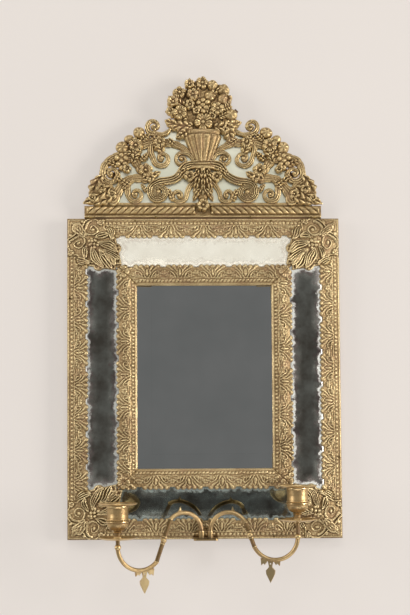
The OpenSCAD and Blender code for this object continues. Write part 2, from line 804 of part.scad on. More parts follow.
// Screws hold each batten: distances above and below the frame's top, as shares of the reach
screw_r = 1.6;
screw_at = [0.3, 0.65];
batten_screw_len = 10;
module crest_batten(x) {
    color(wood) difference() {
        batten_shape(x, 0);
        batten_screw_places([-1, 1]) cylinder(h = batten_t + 2, r = screw_r);
    }
}

module batten_screw_places(ways) {
    for (x = [-batten_x, batten_x], way = ways, share = screw_at)
        translate([x, 0, top_z + way * share * batten_reach]) rotate([90, 0, 0]) children();
}

module batten_screw_holes(way) {
    batten_screw_places([way]) cylinder(h = batten_screw_len, r = screw_r);
}

module batten_screws() {
    color(steel) batten_screw_places([-1, 1]) cylinder(h = batten_screw_len, r = screw_r);
}

// Hanging plate, let into the back of the top rail over a pocket
hanger_z = 195;
keyhole_drop = 4;
keyhole_h = 10;
hanger_screw_in = 6;
hanger_screw_len = 12;
module hanger_recess() {
    pocket_w = 2 * hanger_hole_r + 4;
    pocket_h = hanger_h - 6;
    translate([-hanger_w / 2, -hanger_t, hanger_z - hanger_h / 2])
        cube([hanger_w, hanger_t + 1, hanger_h]);
    translate([-pocket_w / 2, -hanger_t - hanger_pocket, hanger_z - pocket_h / 2])
        cube([pocket_w, hanger_pocket + 1, pocket_h]);
}

module hanger_plate() {
    cut = hanger_t + 2;
    color(aged_brass) difference() {
        front_plate(0, hanger_t) translate([0, hanger_z]) square([hanger_w, hanger_h], center = true);
        translate([0, 1, hanger_z - keyhole_drop]) rotate([90, 0, 0]) cylinder(h = cut, r = hanger_hole_r);
        translate([-hanger_slot_w / 2, 1 - cut, hanger_z - keyhole_drop])
            cube([hanger_slot_w, cut, keyhole_h]);
        translate([0, 1, hanger_z - keyhole_drop + keyhole_h]) rotate([90, 0, 0])
            cylinder(h = cut, r = hanger_slot_w / 2);
        hanger_screw_holes();
    }
}

module hanger_screw_places() {
    for (sx = [-1, 1]) translate([sx * (hanger_w / 2 - hanger_screw_in), 0, hanger_z])
        rotate([90, 0, 0]) children();
}

module hanger_screw_holes() {
    hanger_screw_places() cylinder(h = hanger_screw_len, r = screw_r);
}

module hanger_screws() {
    color(steel) hanger_screw_places() cylinder(h = hanger_screw_len, r = screw_r);
}

// Bracket: a plate let into the underside of the bottom rail, with two upright sockets
socket_r = pin_r + 1.8;
bracket_back = 3;
bracket_edge = 1.5;
bracket_front = pivot_d + socket_r + bracket_edge;
socket_top = bottom_z + bracket_t + socket_h;

module bracket_plate(grow) {
    r = 4;
    translate([0, 0, bottom_z - (grow > 0 ? 1 : 0)])
        linear_extrude(bracket_t + grow + (grow > 0 ? 1 : 0)) {
            translate([-bracket_w / 2 - grow, -bracket_front + r])
                square([bracket_w + 2 * grow, bracket_front - r - bracket_back]);
            for (sx = [-1, 1]) translate([sx * (bracket_w / 2 - r), -bracket_front + r])
                circle(r + grow);
            translate([-bracket_w / 2 + r, -bracket_front - grow])
                square([bracket_w - 2 * r, r]);
        }
}

bracket_screw_d = 10;
bracket_screw_len = 14;
module bracket_screw_places() {
    for (x = [-1, 0, 1]) translate([x * bracket_w / 3, -bracket_screw_d, bottom_z]) children();
}

module bracket_screw_holes() {
    bracket_screw_places() cylinder(h = bracket_screw_len, r = screw_r);
}

module arm_bracket() {
    color(aged_brass) difference() {
        union() {
            bracket_plate(0);
            for (sx = [-1, 1]) translate([sx * pivot_x, -pivot_d, bottom_z])
                cylinder(h = bracket_t + socket_h, r = socket_r);
        }
        for (sx = [-1, 1]) translate([sx * pivot_x, -pivot_d, bottom_z - 1])
            cylinder(h = bracket_t + socket_h + 2, r = pin_r + turn_gap);
        bracket_screw_holes();
    }
}

module bracket_screws() {
    color(steel) bracket_screw_places() cylinder(h = bracket_screw_len, r = screw_r);
}

// The pin stops a little above the underside of the bracket
pin_short = 0.5;
pin_h = socket_h + bracket_t - pin_short;

// Candle arms: an arch from the pivot, a straight that touches both rounds, and a bowl
tenon_r = 3;
tenon_h = 7;
collar_h = 1.6;
module arm(stem, drop) {
    r = arm_t / 2;
    arch = [arch_r, collar_h / 2];
    bowl = [arm_reach - bowl_r, -drop];
    between = bowl - arch;
    lean = asin((arch_r + bowl_r) / norm(between)) - atan2(-between[1], between[0]);
    tilt = 90 - lean;
    arch_end = arch + arch_r * [cos(tilt), sin(tilt)];
    bowl_start = bowl - bowl_r * [cos(tilt), sin(tilt)];
    straight = bowl_start - arch_end;
    collar = (arch_end + bowl_start) / 2;
    // Arc centres lie in the arm's own upright plane: x is the way out, z is up
    translate([arch[0], 0, arch[1]]) rotate([90, 0, 0]) rotate([0, 0, tilt])
        rotate_extrude(angle = 180 - tilt) translate([arch_r, 0]) circle(r);
    translate([bowl[0], 0, bowl[1]]) rotate([90, 0, 0]) rotate([0, 0, 180 + tilt])
        rotate_extrude(angle = 180 - tilt) translate([bowl_r, 0]) circle(r);
    translate([arch_end[0], 0, arch_end[1]]) rotate([0, 90 + atan2(-straight[1], straight[0]), 0])
        cylinder(h = norm(straight), r = r);
    translate([collar[0], 0, collar[1]]) rotate([0, 90 + atan2(-straight[1], straight[0]), 0]) {
        sphere(r * 1.42);
        for (dz = [-5, 5]) translate([0, 0, dz - 0.8]) cylinder(h = 1.6, r = r * 1.25);
        for (dz = [-0.5, 0.5]) translate([0, 0, dz * norm(straight) - 0.6])
            cylinder(h = 1.2, r = r * 1.15);
    }
    translate([arm_reach, 0, bowl[1]]) {
        sphere(r * 1.5);
        cylinder(h = stem, r = r * 0.95);
        translate([0, 0, stem - 1.5]) cylinder(h = 1.5, r = r * 1.4);
        translate([0, 0, stem - 1]) cylinder(h = 1 + tenon_h, r = tenon_r - turn_gap);
    }
    cylinder(h = collar_h, r = socket_r);
    translate([0, 0, -pin_h]) cylinder(h = pin_h + collar_h / 4, r = pin_r);
    arm_drop(bowl);
    arm_spur();
}

// The leaf drop under the bowl, with two side leaves and a small eye
module arm_drop(bowl) {
    thick = 4;
    translate([bowl[0] - 6, thick / 2, bowl[1] - bowl_r]) rotate([90, 0, 0]) linear_extrude(thick)
        difference() {
            union() {
                polygon([[-4, 0], [4, 0], [2, -10], [6.5, -15], [6, -20], [0, -32], [-6, -20],
                    [-6.5, -15], [-2, -10]]);
                for (sx = [-1, 1]) polygon([[sx * 3, 0], [sx * 14, 2], [sx * 13, -8], [sx * 10, -5],
                    [sx * 8, -7], [sx * 6, -4]]);
            }
            translate([0, -5.5]) circle(1.2);
        }
}

// The small leaf that stands on top of the arch
module arm_spur() {
    thick = 3;
    translate([arch_r * 1.2, thick / 2, arch_r]) rotate([90, 0, 0]) linear_extrude(thick)
        polygon([[-6, 0], [-1, 4], [0, 9], [2, 4], [7, -1]]);
}

module place_arm(side, angle) {
    translate([side * pivot_x, -pivot_d, socket_top + seat_gap])
        mirror([side < 0 ? 1 : 0, 0, 0]) rotate([0, 0, -angle]) children();
}

// Turned pieces of one candle holder, standing on the arm's stem
module drip_pan() {
    wall = 1;
    rotate_extrude() difference() {
        polygon([[tenon_r + turn_gap, 0], [pan_r - 7, 0], [pan_r - 1, pan_h - 1], [pan_r, pan_h],
            [pan_r - 1, pan_h + 0.4], [pan_r - 7.4, wall], [tenon_r + turn_gap, wall]]);
    }
}

module candle_cup() {
    z0 = 1;
    foot_h = 12;
    bowl_top = cup_h * 0.5;
    bore_r = candle_r + ring_wall + loose_gap;
    belly = [for (a = [0 : 15 : 90]) [5 + (cup_r - 5) * sin(a), bowl_top - (bowl_top - foot_h) * cos(a)]];
    rotate_extrude() polygon(concat(
        [[0, z0 + tenon_h], [tenon_r + turn_gap, z0 + tenon_h], [tenon_r + turn_gap, z0], [6.5, z0],
            [6.5, z0 + 1.5], [4.6, z0 + 4], [4.6, foot_h - 3], [6, foot_h - 1.5]],
        belly,
        [[cup_r + 1.2, bowl_top + 1], [cup_r + 1.2, bowl_top + 2], [cup_r, bowl_top + 2.6],
            [cup_r + 0.8, bowl_top + 3.6], [cup_r, bowl_top + 4.4], [cup_r - 0.6, bowl_top + 12],
            [cup_r, cup_h - 3], [cup_r + 0.8, cup_h - 1], [cup_r + 0.8, cup_h],
            [bore_r, cup_h], [bore_r, cup_h - neck_h - 2], [0, cup_h - neck_h - 2]]));
}

module drip_ring() {
    z0 = cup_h + seat_gap;
    neck_r = candle_r + ring_wall;
    rotate_extrude() polygon([[candle_r, z0 - neck_h], [neck_r, z0 - neck_h], [neck_r, z0],
        [ring_r - 9, z0], [ring_r - 1.4, z0 + ring_h - 2], [ring_r, z0 + ring_h - 0.6],
        [ring_r - 0.3, z0 + ring_h], [ring_r - 1.8, z0 + ring_h - 0.8],
        [ring_r - 9.4, z0 + ring_wall], [candle_r, z0 + ring_wall]]);
}

module place_holder(side) {
    angle = side < 0 ? left_angle : right_angle;
    rise = side < 0 ? left_stem - left_drop : right_stem - right_drop;
    place_arm(side, angle) translate([arm_reach, 0, rise]) children();
}

module arm_left() { color(brass) place_arm(-1, left_angle) arm(left_stem, left_drop); }
module arm_right() { color(brass) place_arm(1, right_angle) arm(right_stem, right_drop); }

frame_rail("top");  // frame_rail_top
frame_rail("bottom");  // frame_rail_bottom
frame_rail("left");  // frame_stile_left
frame_rail("right");  // frame_stile_right
back_board();
centre_mirror();
mirror_backing();
side_mirror("top");  // side_mirror_top
side_mirror("bottom");  // side_mirror_bottom
side_mirror("left");  // side_mirror_left
side_mirror("right");  // side_mirror_right
outer_border("top");  // outer_border_top
outer_border("bottom");  // outer_border_bottom
outer_border("left");  // outer_border_left
outer_border("right");  // outer_border_right
inner_border("top");  // inner_border_top
inner_border("bottom");  // inner_border_bottom
inner_border("left");  // inner_border_left
inner_border("right");  // inner_border_right
corner_plate(-1, 1);  // corner_plate_top_left
corner_plate(1, 1);  // corner_plate_top_right
corner_plate(-1, -1);  // corner_plate_bottom_left
corner_plate(1, -1);  // corner_plate_bottom_right
border_nails();
crest_board();
crest_mirror();
crest_relief();
crest_rail();
crest_nails();
crest_brace();
crest_batten(-batten_x);  // crest_batten_left
crest_batten(batten_x);  // crest_batten_right
batten_screws();
board_nails();
hanger_plate();
hanger_screws();
arm_bracket();
bracket_screws();
arm_left();
arm_right();
color(brass) place_holder(-1) drip_pan();  // drip_pan_left
color(brass) place_holder(1) drip_pan();  // drip_pan_right
color(brass) place_holder(-1) candle_cup();  // candle_cup_left
color(brass) place_holder(1) candle_cup();  // candle_cup_right
color(brass) place_holder(-1) drip_ring();  // drip_ring_left
color(brass) place_holder(1) drip_ring();  // drip_ring_right
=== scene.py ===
# %% [markdown]
# # A cushion mirror in embossed brass
# The mirror is a wooden carcase covered with thin brass sheet. Each sheet was hammered from behind,
# so its leaves and beads are hollow swellings, and its edge was cut round the outermost leaves.
# A heightfield fits that: one height for each point of a fine grid, cut to an outline. The arms and
# candle cups come ready from the CAD model.

# %% Load the frame
import bpy
import math
import numpy as np
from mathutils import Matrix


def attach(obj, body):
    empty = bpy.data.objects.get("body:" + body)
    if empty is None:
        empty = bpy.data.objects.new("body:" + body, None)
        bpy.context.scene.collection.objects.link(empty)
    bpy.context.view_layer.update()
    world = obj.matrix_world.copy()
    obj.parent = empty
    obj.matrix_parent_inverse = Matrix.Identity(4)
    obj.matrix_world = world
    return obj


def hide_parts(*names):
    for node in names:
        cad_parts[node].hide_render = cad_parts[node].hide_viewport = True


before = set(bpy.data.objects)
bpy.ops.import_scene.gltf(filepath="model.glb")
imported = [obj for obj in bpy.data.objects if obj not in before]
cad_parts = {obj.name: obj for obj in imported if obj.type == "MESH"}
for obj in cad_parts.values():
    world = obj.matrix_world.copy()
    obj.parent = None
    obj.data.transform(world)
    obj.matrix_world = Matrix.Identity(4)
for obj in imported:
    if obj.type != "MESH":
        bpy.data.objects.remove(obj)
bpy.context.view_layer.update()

# %% [markdown]
# ## The bare cushion
# Sizes are in millimetres and turn to metres only when a mesh is written. The frame rises from its
# outer side at 18 degrees, like a cushion, and falls to a lip round the centre glass. A distance u
# is counted inwards from the frame's side, and a distance s runs along it.

# %% Sizes of the frame
FRAME_W, FRAME_H = 400.0, 470.0
HALF_W, HALF_H = FRAME_W / 2, FRAME_H / 2
# Distances from the wall: outer edge, lip round the glass, glass
SIDE_D, LIP_D, GLASS_D = 16.0, 39.0, 34.3
RISE = math.tan(math.radians(18))
# Distances u: teeth of the outer and inner borders, highest line, opening
OUTER_U, INNER_U, CREST_U, OPEN_U = 31.0, 72.5, 88.5, 102.5
SHEET = 0.8
# Teeth of the cut edge: spacing, radius, depth of a notch; then the pattern's repeat
PITCH, TOOTH_R, NOTCH = 7.9, 4.2, 4.0
PERIOD = 6 * PITCH
CELL = 0.8
CREST_Z = HALF_H
MM_PER_M = 1000


def inwards(x, z):
    """Distances in from the nearer upright side and from the nearer level side."""
    return HALF_W - abs(x), HALF_H - abs(z)


def cushion(x, z):
    """Distance from the wall of the bare cushion, hipped at the corners."""
    u = np.minimum(*inwards(x, z))
    fall = (SIDE_D + CREST_U * RISE + SHEET - LIP_D) / (OPEN_U - CREST_U)
    return SIDE_D + RISE * np.minimum(u, CREST_U) - fall * np.clip(u - CREST_U, 0, None)


def side_place(side, x, z):
    """Distance along a side and in from it."""
    flip = -1 if side in ("bottom", "right") else 1
    if side in ("top", "bottom"):
        return flip * x, HALF_H - flip * z
    return flip * z, HALF_W + flip * x


def to_mitre(side, s, u):
    """Distance to the mitres at both ends of a side, positive between them."""
    return ((HALF_W if side in ("top", "bottom") else HALF_H) - u - abs(s)) / math.sqrt(2)


def repeat(p, period):
    """Folds a distance into one repeat of a pattern, with 0 in its middle."""
    return (p + period / 2) % period - period / 2


print("highest line of the cushion:", cushion(0, HALF_H - CREST_U).round(1), "mm")

# %% [markdown]
# ## Stamps
# A metalworker builds an ornament from a few punches. Here each punch is a function of the grid's
# two coordinates that gives two fields: a height, and a distance to its own outline, positive
# inside. Laying stamps over each other is then only a maximum: the higher form wins. The most used
# punches are a lobed leaf and a ridge that follows a path.

# %% Leaf and ridge
LOBE = 12.5
FAR = 1e9


def crown(t):
    """A round cross-section: 1 in the middle, 0 at t = 1 and beyond."""
    return np.sqrt(np.clip(1 - t * t, 0, 1))


def ease(t):
    """A smooth step from 0 to 1."""
    t = np.clip(t, 0, 1)
    return t * t * (3 - 2 * t)


def leaf(x, z, root, tip, wide, high, lobes=4, bend=0.0):
    """An acanthus leaf with a keel, lobed edges and slanting veins."""
    way = np.subtract(tip, root)
    long = math.hypot(*way)
    p = ((x - root[0]) * way[0] + (z - root[1]) * way[1]) / long
    q = ((z - root[1]) * way[0] - (x - root[0]) * way[1]) / long
    t = np.clip(p / long, 0, 1)
    q = q - 4 * bend * t * (1 - t)
    wave = 0.5 + 0.5 * np.cos(2 * math.pi * (lobes * t - 0.25))
    half = wide / 2 * np.sin(math.pi * t ** 0.75) ** 0.6 * (0.7 + 0.3 * wave ** 0.7) + 0.01
    k = abs(q) / half
    body = crown(k) ** 0.7 * (0.55 + 0.45 * np.sin(math.pi * t ** 0.6))
    vein = np.cos(2 * math.pi * (lobes * t - 0.8 * k)) * 0.3 * np.clip(k * 3, 0, 1)
    keel = 0.45 * np.exp(-(q / (0.07 * wide)) ** 2)
    far = np.maximum(np.maximum(-p, p - long), 0)
    inside = np.where(far > 0, -np.hypot(far, q), half - abs(q))
    return np.where(inside > 0, high * np.clip(body * (1 + vein - keel), 0, 2), 0), inside


def stroke(x, z, path, w0, w1, h0, h1, section="round"):
    """A ridge along a path, from width w0 and height h0 to w1 and h1."""
    path = np.asarray(path, float)
    best, along, across = np.full(x.shape, FAR), np.zeros(x.shape), np.zeros(x.shape)
    step = np.diff(path, axis=0)
    size = np.hypot(*step.T)
    run = np.concatenate([[0], np.cumsum(size)])
    for i, (a, d) in enumerate(zip(path[:-1], step)):
        t = np.clip(((x - a[0]) * d[0] + (z - a[1]) * d[1]) / (size[i] ** 2 + 1e-9), 0, 1)
        px, pz = x - a[0] - t * d[0], z - a[1] - t * d[1]
        dist = np.hypot(px, pz)
        near = dist < best
        best = np.where(near, dist, best)
        along = np.where(near, run[i] + t * size[i], along)
        across = np.where(near, dist * np.sign(pz * d[0] - px * d[1]), across)
    share = along / run[-1]
    half = (w0 + (w1 - w0) * share) / 2
    if section == "leafy":
        # Long lobes along both edges, swept back
        wave = abs(np.sin(math.pi * (along / LOBE - 0.35 * abs(across) / half)))
        half = half * (0.82 + 0.18 * wave ** 0.6)
    k = across / half
    if section == "strap":
        rise = 0.72 - 0.3 * np.cos(4 * math.pi * np.clip(k, -1, 1)) * (1 - 0.2 * k * k)
    elif section == "leafy":
        ribs = 0.86 + 0.14 * np.cos(14 * k)
        rise = crown(k) ** 0.6 * (0.82 + 0.18 * wave ** 0.7 * abs(k)) * ribs
    elif section == "rolled":
        rise = crown(k) ** 0.8 * (0.8 + 0.2 * np.cos(9.4 * k - 0.6))
    else:
        rise = crown(k)
    inside = half - best
    return np.where(inside > 0, (h0 + (h1 - h0) * share) * rise * ease(inside / 0.9), 0), inside


def bezier(points, steps=14):
    """Points along a curve with four control points."""
    p = np.asarray(points, float)
    t = np.linspace(0, 1, steps)[:, None]
    r = 1 - t
    return r ** 3 * p[0] + 3 * t * r ** 2 * p[1] + 3 * t * t * r * p[2] + t ** 3 * p[3]


print("a lobe is", LOBE, "mm long")

# %% [markdown]
# Round punches need only the distance to their middle and the angle round it. A smooth random
# field bends the patterns a little, since no two blows fell alike, and roughens the ground.

# %% Round punches and a random field
def flower(x, z, at, r, high, petals, turn=0.0):
    """Cupped and ribbed petals round a domed eye."""
    dx, dz = x - at[0], z - at[1]
    rho, phi = np.hypot(dx, dz), np.arctan2(dz, dx) + math.radians(turn)
    wave = abs(np.cos(petals * phi / 2))
    edge = r * (0.76 + 0.24 * wave ** 0.7)
    t = np.clip(rho / edge, 0, 1)
    cup = (0.35 + 0.65 * ease(t / 0.75)) * crown(np.clip((t - 0.7) / 0.3, 0, 1)) ** 0.7
    rib = (0.12 * np.cos(petals * 3 * phi) - 0.5 * (1 - wave) ** 3) * ease(t / 0.5)
    eye = 0.9 * crown(rho / (0.25 * r))
    return np.where(rho < edge, high * np.maximum(cup * (1 + rib), eye), 0), edge - rho


def knob(x, z, at, r, high, ribs=0):
    """A bead or a fruit; ribs divide it like a gourd."""
    dx, dz = x - at[0], z - at[1]
    rho = np.hypot(dx, dz)
    groove = 0.16 * np.cos(ribs * np.arctan2(dz, dx)) * np.clip(rho / r, 0, 1) if ribs else 0
    return high * crown(rho / r) * (1 + groove), r - rho


def ring(x, z, at, r, wide, high):
    """A rolled ring."""
    rho = np.hypot(x - at[0], z - at[1])
    return high * crown((rho - r) / wide), wide - abs(rho - r)


def lay(stamps):
    """Lays stamps over each other."""
    heights, insides = zip(*stamps)
    return np.maximum.reduce(heights), np.maximum.reduce(insides)


WAVES = 7


def wobble(x, z, size, seed):
    """A smooth random field between about -1 and 1, from a few slanting waves."""
    rng = np.random.default_rng(seed)
    total = 0
    for _ in range(WAVES):
        way = rng.uniform(0, 2 * math.pi)
        total = total + np.sin((x * math.cos(way) + z * math.sin(way)) * 2 * math.pi
                               / (size * rng.uniform(0.7, 1.7)) + rng.uniform(0, 6.3))
    return total / 2.6


def matting(x, z, seed):
    """The ground between ornaments, roughened with a small curved punch."""
    return 0.45 * abs(wobble(x, z, 4.6, seed)) ** 0.7 + 0.12 * wobble(x, z, 3.0, seed + 1)


print("grid cell:", CELL, "mm")

# %% [markdown]
# ## From a field to a sheet of metal
# Squares of the grid with all corners inside the outline are kept, and the points on the rim slide
# on to the outline, so the cut edge is smooth. From the rim a narrow wall runs back to the wood.
# Each point also keeps how far it stands above its surroundings: there polish wears the metal
# bright, and below them dirt stays.

# %% Sheet from a field
# Wear compares a point with the average height within this many millimetres
WEAR_REACH = 2.2


def blur(a, cells):
    """A soft average over a number of grid cells."""
    n = max(1, int(round(cells)))
    kernel = np.hanning(2 * n + 3)[1:-1]
    kernel /= kernel.sum()
    for axis in (0, 1):
        padded = np.pad(a, [(n, n) if k == axis else (0, 0) for k in (0, 1)], mode="edge")
        a = sum(w * np.take(padded, range(i, i + a.shape[axis]), axis) for i, w in enumerate(kernel))
    return a


def linked(name, data):
    """An object made from its data and linked into the scene."""
    obj = bpy.data.objects.new(name, data)
    bpy.context.scene.collection.objects.link(obj)
    return obj


def emboss(name, box, field, base, rim_to=None, closed=False, mark=None, cell=CELL):
    """Makes a sheet over the box (x0, z0, x1, z1) on the surface base, with a wall to rim_to.

    A closed sheet has a back too, and mark is what each point keeps instead of its wear.
    """
    x, z = np.meshgrid(*[np.linspace(low, high, math.ceil((high - low) / cell) + 1)
                         for low, high in zip(box[:2], box[2:])])
    height, inside = field(x, z)
    gz, gx = np.gradient(inside, z[1, 0] - z[0, 0], x[0, 1] - x[0, 0])
    # The small limit keeps rounding out of the choice of points on the outline
    keep = inside > 1e-6
    quad = keep[:-1, :-1] & keep[1:, :-1] & keep[:-1, 1:] & keep[1:, 1:]
    # A rim point is used by some of the squares round it, but not by all four
    used = np.zeros(keep.shape, int)
    for dz in (0, 1):
        for dx in (0, 1):
            used[dz:dz + quad.shape[0], dx:dx + quad.shape[1]] += quad
    rim = (used > 0) & (used < 4)
    slide = np.where(rim, np.clip(inside, 0, cell * 1.2), 0) / np.maximum(gx * gx + gz * gz, 0.3)
    x, z = np.clip(x - slide * gx, box[0], box[2]), np.clip(z - slide * gz, box[1], box[3])
    if mark is None:
        proud = np.clip(0.5 + 0.42 * (height - blur(height, WEAR_REACH / cell)), 0, 1)
    else:
        proud = mark(x, z)
    height = np.where(rim, height * 0.25, height)
    pick = used > 0
    index = -np.ones(keep.shape, int)
    index[pick] = np.arange(pick.sum())
    front = np.column_stack([x[pick], -(base(x, z) + SHEET + height)[pick], z[pick]])
    back = np.column_stack([x[pick], -(rim_to or base)(x, z)[pick], z[pick]])
    faces = np.column_stack([index[:-1, :-1][quad], index[:-1, 1:][quad],
                             index[1:, 1:][quad], index[1:, :-1][quad]])
    edges = np.concatenate([faces[:, [k, (k + 1) % 4]] for k in range(4)])
    n = len(front)
    border = edges[~np.isin(edges[:, 0] * n + edges[:, 1], edges[:, 1] * n + edges[:, 0])]
    if closed:
        place = np.arange(n) + n
        faces = np.vstack([faces, faces[:, ::-1] + n])
    else:
        edge = np.unique(border)
        place = np.zeros(n, int)
        place[edge] = n + np.arange(len(edge))
        back = back[edge]
    walls = np.column_stack([border[:, 1], border[:, 0], place[border[:, 0]], place[border[:, 1]]])
    faces = np.vstack([faces, walls])
    worn = np.concatenate([proud[pick], np.full(len(back), 0.5)])
    mesh = bpy.data.meshes.new(name)
    mesh.from_pydata((np.vstack([front, back]) / MM_PER_M).tolist(), [], faces.tolist())
    mesh.polygons.foreach_set("use_smooth", np.ones(len(faces), bool))
    mesh.attributes.new("proud", "FLOAT", "POINT").data.foreach_set("value", worn.astype("f"))
    return linked(name, mesh)


def dress(obj, body, surface, slot, *nodes):
    """Gives a piece its material and body, and hides the CAD nodes it stands in for; slot is not used.
    """
    obj.data.materials.append(surface)
    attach(obj, body)
    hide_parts(*nodes)


print("sheet builder ready")

# %% [markdown]
# ## The finishes
# A finish is a set of linked nodes: patterns give colour and roughness to one shader. The helper
# add makes a node of any kind, and ramp, calc, noise and remap are short ways to those used most.

# %% Helpers for materials
def srgb(text):
    """A hex colour as the linear values that Blender computes with."""
    parts = [int(text[i:i + 2], 16) / 255 for i in (1, 3, 5)]
    return [c / 12.92 if c <= 0.04045 else ((c + 0.055) / 1.055) ** 2.4 for c in parts] + [1.0]


def feed(mat, node, given):
    """Sets a node's inputs: a node or socket is linked, a hex colour or a number is set."""
    for key, value in given.items():
        socket = node.inputs[int(key[1:]) if key[1:].isdigit() else key.replace("_", " ")]
        if isinstance(value, bpy.types.Node):
            value = value.outputs[0]
        if isinstance(value, bpy.types.NodeSocket):
            mat.node_tree.links.new(value, socket)
        else:
            socket.default_value = srgb(value) if isinstance(value, str) else value


def add(mat, kind, **given):
    """Adds a node with its settings and links."""
    node = mat.node_tree.nodes.new("ShaderNode" + kind)
    for key in [key for key in given if key in node.bl_rna.properties]:
        setattr(node, key, given.pop(key))
    feed(mat, node, given)
    return node


def ramp(mat, value, *stops):
    """A colour ramp through places with their colours, each a hex colour or a grey."""
    node = add(mat, "ValToRGB", Fac=value)
    points = node.color_ramp.elements
    for i, (place, colour) in enumerate(stops):
        point = points[i] if i < len(points) else points.new(place)
        point.position = place
        point.color = srgb(colour) if isinstance(colour, str) else [colour] * 3 + [1]
    return node


def material(name):
    """A new node material, its shader, and the place on the object for patterns."""
    mat = bpy.data.materials.new(name)
    mat.use_nodes = True
    return mat, mat.node_tree.nodes["Principled BSDF"], add(mat, "TexCoord").outputs["Object"]


def calc(mat, operation, *values, **given):
    """A Math node over two or three values."""
    given.update({"i%d" % i: value for i, value in enumerate(values)})
    return add(mat, "Math", operation=operation, **given)


def noise(mat, place, size_mm, detail, **given):
    """A noise whose features have a size in millimetres."""
    return add(mat, "TexNoise", Vector=place, Scale=MM_PER_M / size_mm, Detail=detail, **given)


def remap(mat, value, low, high, to_low, to_high):
    """A value carried from one range over to another."""
    return add(mat, "MapRange", Value=value, i1=low, i2=high, i3=to_low, i4=to_high)


print("white:", srgb("#ffffff"))

# %% [markdown]
# ### Brass
# A metal's base colour is the tint of its reflections. Clean brass reflects a pale warm yellow. On
# old brass only the high places are rubbed pale and satin; hollows keep brown dirt and look almost
# matt. So colour and roughness follow the number that each sheet keeps, under clouds of tarnish.

# %% Brass
def brass(name, dirt, mid, bright, dull=0.66, satin=0.4, from_shape=False):
    """Old brass. Embossed sheets carry their wear; with from_shape it comes from the corners."""
    mat, shader, place = material(name)
    if from_shape:
        # Pointiness is about 0.5 on flat parts, and the ramp spreads what lies round it
        worn = ramp(mat, add(mat, "NewGeometry").outputs["Pointiness"], (0.44, 0.1), (0.56, 1.0))
    else:
        worn = add(mat, "Attribute", attribute_name="proud").outputs["Fac"]
    specks = calc(mat, "MULTIPLY_ADD", noise(mat, place, 2.4, 2.0), 0.4, -0.2)
    tarnish = calc(mat, "MULTIPLY_ADD", noise(mat, place, 34, 4.0), 0.5, -0.25)
    level = calc(mat, "ADD", calc(mat, "ADD", worn, specks), tarnish, use_clamp=True)
    colour = ramp(mat, level, (0.12, dirt), (0.45, mid), (0.85, bright))
    # Here and there a rosy copper colour shows
    rosy = ramp(mat, noise(mat, place, 19, 1.0), (0.54, 0.0), (0.78, 0.35))
    colour = add(mat, "MixRGB", Fac=rosy, Color1=colour, Color2="#a88468")
    rough = calc(mat, "MULTIPLY_ADD", level, satin - dull, dull)
    # Dirt covers the metal, so it only shines as metal where it is rubbed
    metal = remap(mat, level, 0.1, 0.8, 0.35, 0.95)
    # Fine hammer and cleaning marks, drawn coarser than they are
    bump = add(mat, "Bump", Height=noise(mat, place, 1.4, 2.0), Strength=0.3, Distance=0.0003)
    feed(mat, shader, {"Base Color": colour, "Metallic": metal, "Roughness": rough, "Normal": bump})
    return mat


brass_sheet = brass("Brass, embossed sheet, worn and tarnished", "#665030", "#a0865e", "#e2cea0")
brass_crest = brass("Brass, embossed relief, worn and tarnished", "#5e4828", "#967b52", "#dfc896")
brass_cast = brass("Brass, cast and turned, rubbed", "#6e5630", "#a98a5c", "#dcc290", 0.52, 0.3, True)
brass_dark = brass("Brass, dull and aged", "#4a3a20", "#7e6744", "#c0a474", 0.6, 0.4, True)
brass_nail = brass("Brass nail heads, blackened by hammering", "#241b10", "#3d2f1b", "#75603c",
                   0.6, 0.4, True)
print("brass:", len(brass_sheet.node_tree.nodes), "nodes")

# %% [markdown]
# ### Mirror glass
# A mirror is silvering seen through clear glass. The side mirrors are old: their silvering is
# cloudy, and along every edge of the brass damp left a ragged pale line, then blooms of grey and
# rust. For that, each strip keeps its distance in millimetres to the nearest brass edge. The strips
# are copies of one glass: the top one pale, the sides darker and the bottom darkest, which is
# painted shade standing in for the dim room that they reflect. The glass behind the crest is
# rough, so it shows one even tone in the small gaps.

# %% Mirrors
def mirror(name, tint, rough):
    """A sound mirror: metal with the grey of its silvering."""
    mat, shader, place = material(name)
    colour = ramp(mat, noise(mat, place, 60, 2.0), (0.3, tint[0]), (0.7, tint[1]))
    feed(mat, shader, {"Base Color": colour, "Metallic": 1.0, "Roughness": rough})
    return mat


